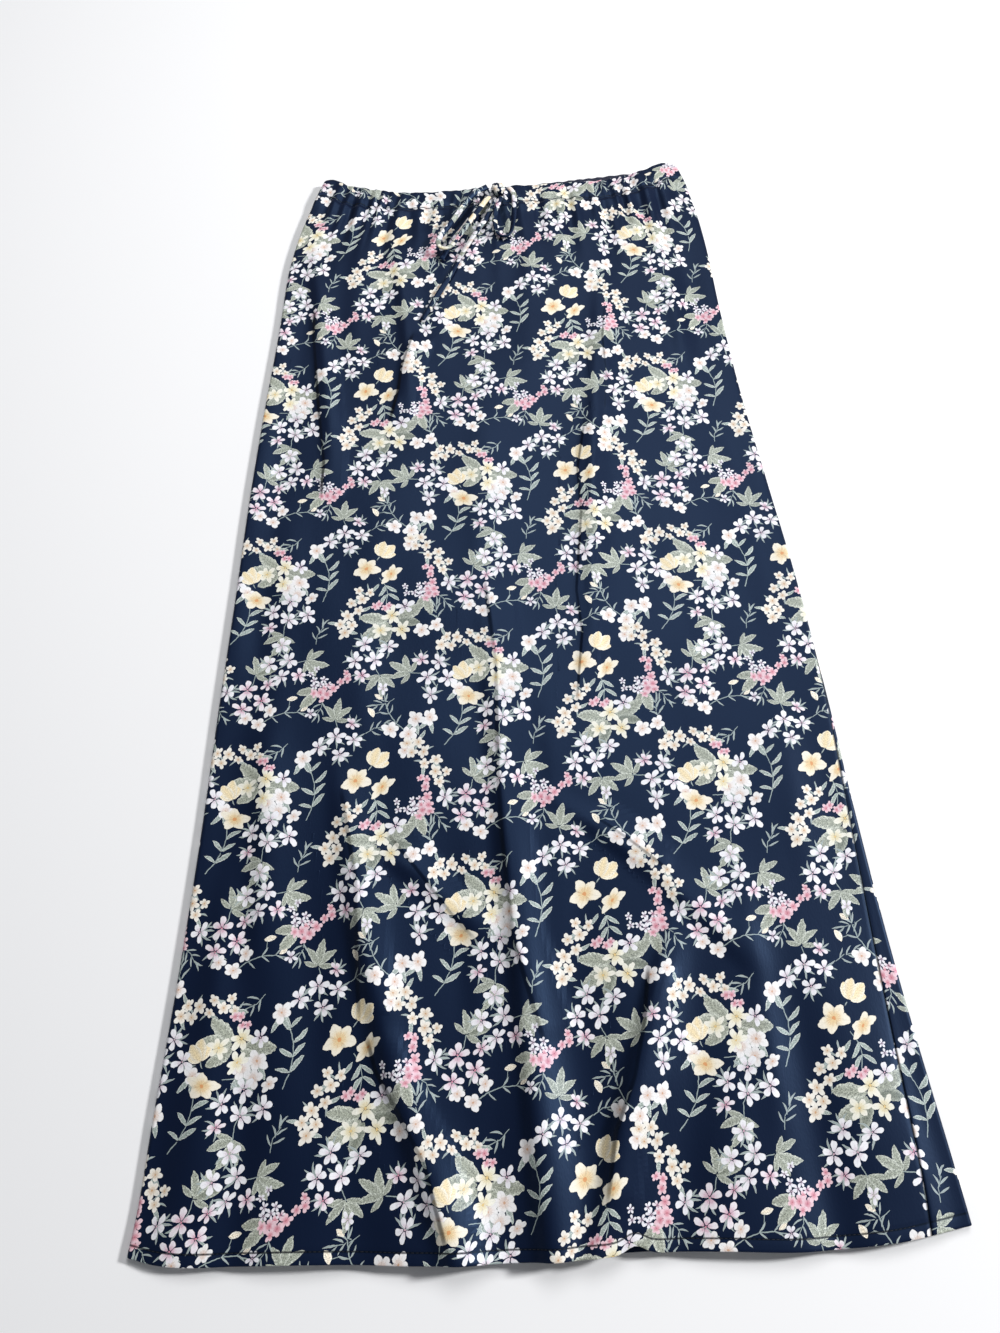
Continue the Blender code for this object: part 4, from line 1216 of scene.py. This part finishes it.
def satinGrainGroup():
    # Fine satin: short floats of thread, tiny slubs and a soft unevenness, as a height for a bump.
    sockets = [("Place", "Vector"), ("Ripple", "Float")]
    tree, w, given, result = newGroup("satinGrain", sockets, [("Height", "Float")])
    stretched = w.make(0, "ShaderNodeMapping", {0: given["Place"], "Scale": satin["threadStretch"]})
    fine = w.noise(0, stretched, satin["fineScale"], 3.0)
    soft = w.noise(0, stretched, satin["softScale"], 3.0)
    w.feed(result, {0: fine * satin["fineShare"] + soft * given["Ripple"]})
    return tree


gardenPrint = gardenPrintGroup()
satinGrain = satinGrainGroup()


def newMaterial(name, colour, roughness):
    material = bpy.data.materials.new(name)
    material.use_nodes = True
    material.diffuse_color = (*srgb(colour), 1.0)
    shader = material.node_tree.nodes["Principled BSDF"]
    w = Wires(material.node_tree)
    w.feed(shader, {"Base Color": (*srgb(colour), 1.0), "Roughness": roughness})
    return material, shader, w


def addGrain(w, shader, under=None):
    feeds = {"Place": w.add("ShaderNodeTexCoord").outputs["Object"], "Ripple": satin["ripple"]}
    height = w.make(0, "ShaderNodeGroup", feeds, node_tree=satinGrain)
    w.feed(shader, {"Normal": w.bump(height, satin["bumpDistance"], satin["bump"], under)})


def sewnShade(w):
    # Where seams and rows of stitches draw the cloth in, it lies in its own shade, which is painted here as a
    # darker colour.
    left, right, level = w.parts(w.stored("sewing"))
    shade = w.ease(w.sum("MINIMUM", left, right), *satin["seamShade"])
    for row in (cloth["hemTurn"], cloth["channelAt"]):
        shade = shade * w.ease(abs(level - row), *satin["rowShade"])
    return shade * (1.0 - satin["shadeLeft"]) + satin["shadeLeft"]


def creaseShade(w):
    # The painted shade of a crease, a dark line and a soft painted shadow on its left that darken the colour,
    # and the normal of its steep side.
    off, strength, _ = w.parts(w.stored("crease"))
    starts, full, held, stops = creaseForm["line"]
    ends = 1.0 - w.ease(off, held, stops)
    line = w.ease(off, starts, full) * ends
    soft = w.ease(off, *creaseForm["shadow"])
    soft = soft * soft * ends
    dark = w.sum("MAXIMUM", line * creaseForm["lineShade"], soft * creaseForm["shadowShade"])
    steep = w.ease(off, *creaseForm["steep"]) * strength
    return 1.0 - dark * strength, w.bump(steep, creaseForm["bump"])


def printedSatin(name, paintShade):
    material, shader, w = newMaterial(name, satin["ground"], satin["roughness"])
    layers = {layer: w.stored(layer) for layer in inkNames["leaf"] + inkNames["flower"]}
    layers["Ground"] = (*srgb(satin["ground"]), 1.0)
    colour, normal = w.make(0, "ShaderNodeGroup", layers, node_tree=gardenPrint), None
    # Painted shade: the colour is darkened at seams, stitch rows and creases.
    if paintShade:
        shade, normal = creaseShade(w)
        colour = w.dim(colour, sewnShade(w) * shade)
    w.feed(shader, {"Base Color": colour, "Specular Tint": (*satin["specularTint"], 1.0),
                    "Specular IOR Level": satin["specular"],
                    "Sheen Weight": satin["sheen"], "Sheen Roughness": satin["sheenRoughness"]})
    addGrain(w, shader, normal)
    return material


def reverseSatin(name):
    material, shader, w = newMaterial(name, satin["reverse"], satin["reverseRoughness"])
    addGrain(w, shader)
    return material


shadedSatin = printedSatin("printedSatin", True)
tieSatin = printedSatin("tieSatin", False)
reverse = reverseSatin("satinReverse")
thread = newMaterial("darkThread", satin["thread"], satin["threadRoughness"])[0]
print("materials made")

panelPlan = {
    "frontColumns": (10, 10, 144, 6),     # flap, side fold, flat run, far end
    "backColumns": (10, 10, 118, 6),
    "frontPrint": (31.0, 17.0),           # where the print starts on each panel, in millimetres
    "backPrint": (132.0, 66.0),
    "hemRows": 8, "bodyRows": 232, "waistRows": 36, "casingRows": 13,
    "hemTop": 0.0115, "bodyTop": 0.860,
    "frontShare": 1.0, "backShare": 0.82,           # of the rows of body and waist
    "hemTurns": 4, "hemInside": (0.0035, 0.0072),   # steps round the edge, and depths behind it
    "waistTurns": 6, "waistInside": (0.004, 0.009, 0.014, 0.0185),
}


def panelPiece(name, face, side):
    plan, columns = panelPlan, panelPlan[side + "Columns"]
    share = plan[side + "Share"]
    hemTop, bodyTop, line = plan["hemTop"], plan["bodyTop"], skirt["length"] - skirt["casingDepth"]
    heights = np.concatenate([
        np.linspace(float(outerWall(0.0)), hemTop, plan["hemRows"]),
        np.linspace(hemTop, bodyTop, int(plan["bodyRows"] * share) + 1)[1:],
        np.linspace(bodyTop, line, int(plan["waistRows"] * share) + 1)[1:],
    ])
    hem = turnedEdge(0.0, face, columns, False, plan["hemTurns"], plan["hemInside"])[::-1]
    rows = hem + [tubeRow(height, face, columns) for height in heights]
    levels = [-1.0] * len(hem) + list(heights)
    return clothPiece(name, rows, levels, plan[side + "Print"], creased=face > 0)


def casingPiece(name, face, side):
    plan, columns = panelPlan, panelPlan[side + "Columns"]
    line, length = skirt["length"] - skirt["casingDepth"], skirt["length"]
    heights = np.linspace(line, length - float(outerWall(length)), plan["casingRows"])
    outside = [tubeRow(height, face, columns) for height in heights]
    over = turnedEdge(length, face, columns, True, plan["waistTurns"], plan["waistInside"])
    rows, levels = outside + over, list(heights) + [length] * len(over)
    return clothPiece(name, rows, levels, plan[side + "Print"], inside=range(len(outside) + 2, len(rows)))


frontPanel = panelPiece("frontPanel", 1, "front")
backPanel = panelPiece("backPanel", -1, "back")
frontCasing = casingPiece("frontCasing", 1, "front")
backCasing = casingPiece("backCasing", -1, "back")


def tubePiece(name, rings, girth, offset):
    # A closed tube on rings of points, printed along its run.
    count = len(rings[0])
    run = runAlong(np.array([ring.mean(0) for ring in rings])) * 1000
    fabric = np.stack([np.tile(np.arange(count) * girth / count, len(rings)) + offset[0],
                       np.repeat(run, count) + offset[1]], axis=1)
    index = np.arange(len(rings) * count).reshape(len(rings), count)
    return printedPiece(name, np.concatenate(rings), index, np.roll(index, -1, axis=1), fabric,
                        [tieSatin], girth)


def blunted(values, power):
    return np.sign(values) * np.abs(values) ** power


def strandPiece(name, given, lean, offset):
    # A pressed rouleau along its route; it leans to each side a little as it goes.
    route = strandRoute(given)
    length = float(np.linalg.norm(np.diff(route, axis=0), axis=1).sum())
    count = max(tie["leastRings"], round(length / tie["ringStep"]))
    marks, own = np.linspace(0, 1, count), np.linspace(0, 1, len(route))
    centre = np.stack([np.interp(marks, own, route[:, k]) for k in range(3)], axis=1)
    for _ in range(tie["smoothing"]):
        centre[1:-1] = (centre[:-2] + 2 * centre[1:-1] + centre[2:]) / 4
    way = np.gradient(centre, axis=0)
    way /= np.linalg.norm(way, axis=1)[:, None]
    turns = np.linspace(0, 2 * math.pi, tie["ringPoints"], endpoint=False)
    across = blunted(np.cos(turns), tie["squareness"][0]) * tie["width"] / 2
    through = blunted(np.sin(turns), tie["squareness"][1]) * tie["thickness"] / 2
    crimp, rate = tie["crimp"]
    least, sway, swayRate, start = lean
    rings = []
    for i, mark in enumerate(marks):
        turn = least + sway * math.sin(swayRate * mark + start)
        side = np.cross(way[i], (0, 0, 1))
        side /= np.linalg.norm(side)
        up = np.cross(side, way[i])
        side, up = side * math.cos(turn) + up * math.sin(turn), up * math.cos(turn) - side * math.sin(turn)
        # the two ends close to a small folded edge
        close = 1.0 - tie["endThin"] * max(0.0, 1 - min(mark, 1 - mark) * length / tie["endReach"]) ** 2
        wide = across * (1 - tie["endNarrow"] + tie["endNarrow"] * close)
        thick = through * close + crimp * math.sin(rate * mark * length + 3 * start) * np.abs(np.sin(turns))
        rings.append(centre[i] + side * wide[:, None] + up * thick[:, None])
    girth = 2 * (tie["width"] + tie["thickness"]) * 1000
    return tubePiece(name, rings, girth, offset), centre, length


knotForm = {
    "rings": 40, "points": 56,
    "band": 0.30, "bandWaves": [(0.05, 2.0, 0.0)], "bandRim": (-0.05, 0.04), "bandSlant": 0.06,
    "grooves": 40.0, "grooveSway": (2.2, 0.6), "grooveDepth": 0.018, "grooveLeast": 0.4,
    "core": 0.86, "raised": 0.13,
    "girth": 38.0,                # millimetres of print round it
}


def knotPiece(name, offset):
    # The knot: one turn of the rouleau over the others, with the creases of its pull.
    x, height = tie["knotPlace"]
    seatX, seatY = tie["knotSeat"]
    seat = max(clothTop(x + dx * seatX, height + dy * seatY) for dx in (-1, 0, 1) for dy in (-1, 0, 1))
    middle = np.array([x + shift[0], height + shift[1], seat + tie["clearance"] + tie["knotSize"][2] / 2])
    form, rings, least = knotForm, [], knotForm["grooveLeast"]
    sway, start = form["grooveSway"]
    turns = np.linspace(0, 2 * math.pi, form["points"], endpoint=False)
    band = wavy(form["band"], turns, form["bandWaves"])
    for i in range(1, form["rings"]):
        lift = math.pi * (i / form["rings"] - 0.5)
        ball = np.stack([np.sin(lift) * np.ones(len(turns)), np.cos(lift) * np.cos(turns),
                         np.cos(lift) * np.sin(turns)], axis=1)
        ball = blunted(ball, tie["knotSquareness"]) / 2
        off = np.abs(ball[:, 0] + form["bandSlant"] * np.sin(turns))
        raised = 1.0 - smooth(off, band + form["bandRim"][0], band + form["bandRim"][1])
        groove = np.cos(form["grooves"] * ball[:, 0] + sway * np.sin(turns + start)) * form["grooveDepth"]
        size = form["core"] + form["raised"] * raised + groove * (least + (1 - least) * raised)
        rings.append(middle + ball * size[:, None] * np.array(tie["knotSize"]))
    return tubePiece(name, rings, form["girth"], offset)


# Each strand: its node, its route, how it leans (least, sway, rate, start) and its print's place.
strands = {
    "tieLoopLeft": ("tie_loop_left", leftLoop, (0.35, 0.45, 5.0, 0.4), (96.0, 96.0)),
    "tieLoopRight": ("tie_loop_right", rightLoop, (-0.30, 0.50, 6.0, 1.4), (24.0, 48.0)),
    "tieTailShort": ("tie_tail_short", shortTail, (0.15, 0.25, 7.0, 2.4), (24.0, 0.0)),
    "tieTailLong": ("tie_tail_long", longTail, (-0.10, 0.30, 9.0, 0.9), (18.0, 174.0)),
}
for name, (node, given, lean, offset) in strands.items():
    piece, centre, length = strandPiece(name, given, lean, offset)
    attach(piece, "root")
    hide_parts(node)

knot = knotPiece("tieKnot", (64.0, 20.0))
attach(knot, "root")
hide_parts("tie_knot")

# Stitches are laid by geometry nodes.
stitches = {
    "size": (0.00120, 0.00020, 0.00014),    # half length, half width, half height
    "spacing": 0.0031,
    "lift": 0.00012,
    "uneven": 0.18,
    "clear": 2,                             # columns left free beside the seams
}
stitchSockets = [("Path", "Geometry"), ("Spacing", "Float"), ("Size", "Vector"), ("Uneven", "Float"),
                 ("Seed", "Int"), ("Thread", "Material")]


def stitchTree():
    # Grains of thread at even steps along a path, turned with it and uneven in size.
    tree, w, given, result = newGroup("stitchRow", stitchSockets, [("Stitches", "Geometry")], "Geometry")
    curve = w.make(0, "GeometryNodeMeshToCurve", {"Mesh": given["Path"]})
    points = w.add("GeometryNodeCurveToPoints", {"Curve": curve, "Length": given["Spacing"]}, mode="LENGTH")
    up = w.make(0, "GeometryNodeInputNamedAttribute", {"Name": "up"}, data_type="FLOAT_VECTOR")
    facing = w.make(0, "FunctionNodeAxesToRotation",
                    {"Primary Axis": points.outputs["Tangent"], "Secondary Axis": up},
                    primary_axis="X", secondary_axis="Z")
    grain = w.make(0, "GeometryNodeMeshUVSphere", {"Segments": 6, "Rings": 4, "Radius": 1.0})
    shaped = w.make(0, "GeometryNodeTransform", {"Geometry": grain, "Scale": given["Size"]})
    limits = {2: 1.0 - given["Uneven"], 3: given["Uneven"] + 1.0, "Seed": given["Seed"]}
    change = w.make(1, "FunctionNodeRandomValue", limits, data_type="FLOAT")
    laid = w.make(0, "GeometryNodeInstanceOnPoints", {
        "Points": points.outputs["Points"], "Instance": shaped, "Rotation": facing, "Scale": change})
    real = w.make(0, "GeometryNodeRealizeInstances", {0: laid})
    smoothed = w.make(0, "GeometryNodeSetShadeSmooth", {0: real})
    painted = w.make(0, "GeometryNodeSetMaterial", {"Geometry": smoothed, "Material": given["Thread"]})
    w.feed(result, {0: painted})
    return tree


stitchNodes = stitchTree()


def stitchPiece(name, height, face, side, seed):
    # A row of stitches at a height, just proud of the cloth.
    columns = panelPlan[side + "Columns"]
    row = tubeRow(height, face, columns)
    row[:, :2] += shift
    row = row[columns[0] + columns[1] + stitches["clear"]:-columns[3] - stitches["clear"]]
    way = np.gradient(row, axis=0)
    up = np.cross(np.cross(way, (0, 0, face)), way)
    up /= np.linalg.norm(up, axis=1)[:, None]
    mesh = bpy.data.meshes.new(name + "Path")
    mesh.from_pydata((row + up * stitches["lift"]).tolist(), [(i, i + 1) for i in range(len(row) - 1)], [])
    writeLayer(mesh, "up", "POINT", up)
    holder = bpy.data.objects.new(name + "Path", mesh)
    bpy.context.scene.collection.objects.link(holder)
    made = holder.modifiers.new("stitches", "NODES")
    made.node_group = stitchNodes
    values = {"Spacing": stitches["spacing"], "Size": stitches["size"], "Uneven": stitches["uneven"],
              "Seed": seed, "Thread": thread}
    for item in stitchNodes.interface.items_tree:
        if item.in_out == "INPUT" and item.name in values:
            made[item.identifier] = values[item.name]
    holder.update_tag()
    bpy.context.view_layer.update()
    done = bpy.data.meshes.new_from_object(holder.evaluated_get(bpy.context.evaluated_depsgraph_get()))
    done.name = name
    bpy.data.objects.remove(holder)
    piece = bpy.data.objects.new(name, done)
    bpy.context.scene.collection.objects.link(piece)
    print(name, len(done.polygons), "faces")
    return piece


frontStitches = stitchPiece("frontHemStitches", cloth["hemTurn"], 1, "front", 3)
backStitches = stitchPiece("backHemStitches", cloth["hemTurn"], -1, "back", 5)
frontCasingStitches = stitchPiece("frontCasingStitches", cloth["channelAt"], 1, "front", 7)
backCasingStitches = stitchPiece("backCasingStitches", cloth["channelAt"], -1, "back", 11)

studio = {
    "floor": (251, 251, 252), "floorRoughness": 0.75, "floorSpecular": 0.15,
    "floorReach": 6.0, "floorDrop": -0.0002,
    "sky": (0.92, 0.95, 1.0),
    "skyStrength": 0.19,
    "key": 103.0, "keyPlace": (2.7, 0.35, 1.85), "keySize": 0.45,
    "sheen": 22.0, "sheenPlace": (0.3, 1.1, 1.9), "sheenSize": 1.3,
}


def makeFloor():
    material, shader, w = newMaterial("paleFloor", studio["floor"], studio["floorRoughness"])
    w.feed(shader, {"Specular IOR Level": studio["floorSpecular"]})
    reach, level = studio["floorReach"], studio["floorDrop"]
    corners = [(x * reach, y * reach, level) for x, y in ((-1, -1), (1, -1), (1, 1), (-1, 1))]
    mesh = bpy.data.meshes.new("floor")
    mesh.from_pydata(corners, [], [(0, 1, 2, 3)])
    return linkPiece("floor", mesh, [material])


def softLight(name, power, place, size):
    data = bpy.data.lights.new(name, "AREA")
    data.shape = "DISK"
    data.energy, data.size = power, size
    light = bpy.data.objects.new(name, data)
    light.location = place
    light.rotation_mode = "QUATERNION"
    light.rotation_quaternion = (-Vector(place)).to_track_quat("-Z", "Y")
    bpy.context.scene.collection.objects.link(light)


floor = makeFloor()

world = bpy.data.worlds.new("studio")
bpy.context.scene.world = world
world.use_nodes = True
Wires(world.node_tree).feed(world.node_tree.nodes["Background"],
                            {0: (*studio["sky"], 1.0), 1: studio["skyStrength"]})
softLight("keyLight", studio["key"], studio["keyPlace"], studio["keySize"])
softLight("sheenLight", studio["sheen"], studio["sheenPlace"], studio["sheenSize"])
bpy.context.scene.view_settings.view_transform = "Standard"
print("floor and lights placed")

# Each solid's cloth and stitches, their slot, the flat size, the area and what lies under it.
pieces = {
    "front_panel": (frontPanel, frontStitches, "front_satin", (0.60, 0.98), 0.485, ["back_panel"]),
    "back_panel": (backPanel, backStitches, "back_satin", (0.60, 0.98), 0.470, []),
    "front_casing": (frontCasing, frontCasingStitches, "casing_satin", (0.42, 0.055), 0.0215,
                     ["back_casing"]),
    "back_casing": (backCasing, backCasingStitches, "back_casing_satin", (0.42, 0.055), 0.0215, []),
}
for node, (piece, sewing, slot, flat, area, under) in pieces.items():
    for item in (piece, sewing):
        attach(item, "root")
    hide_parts(node)
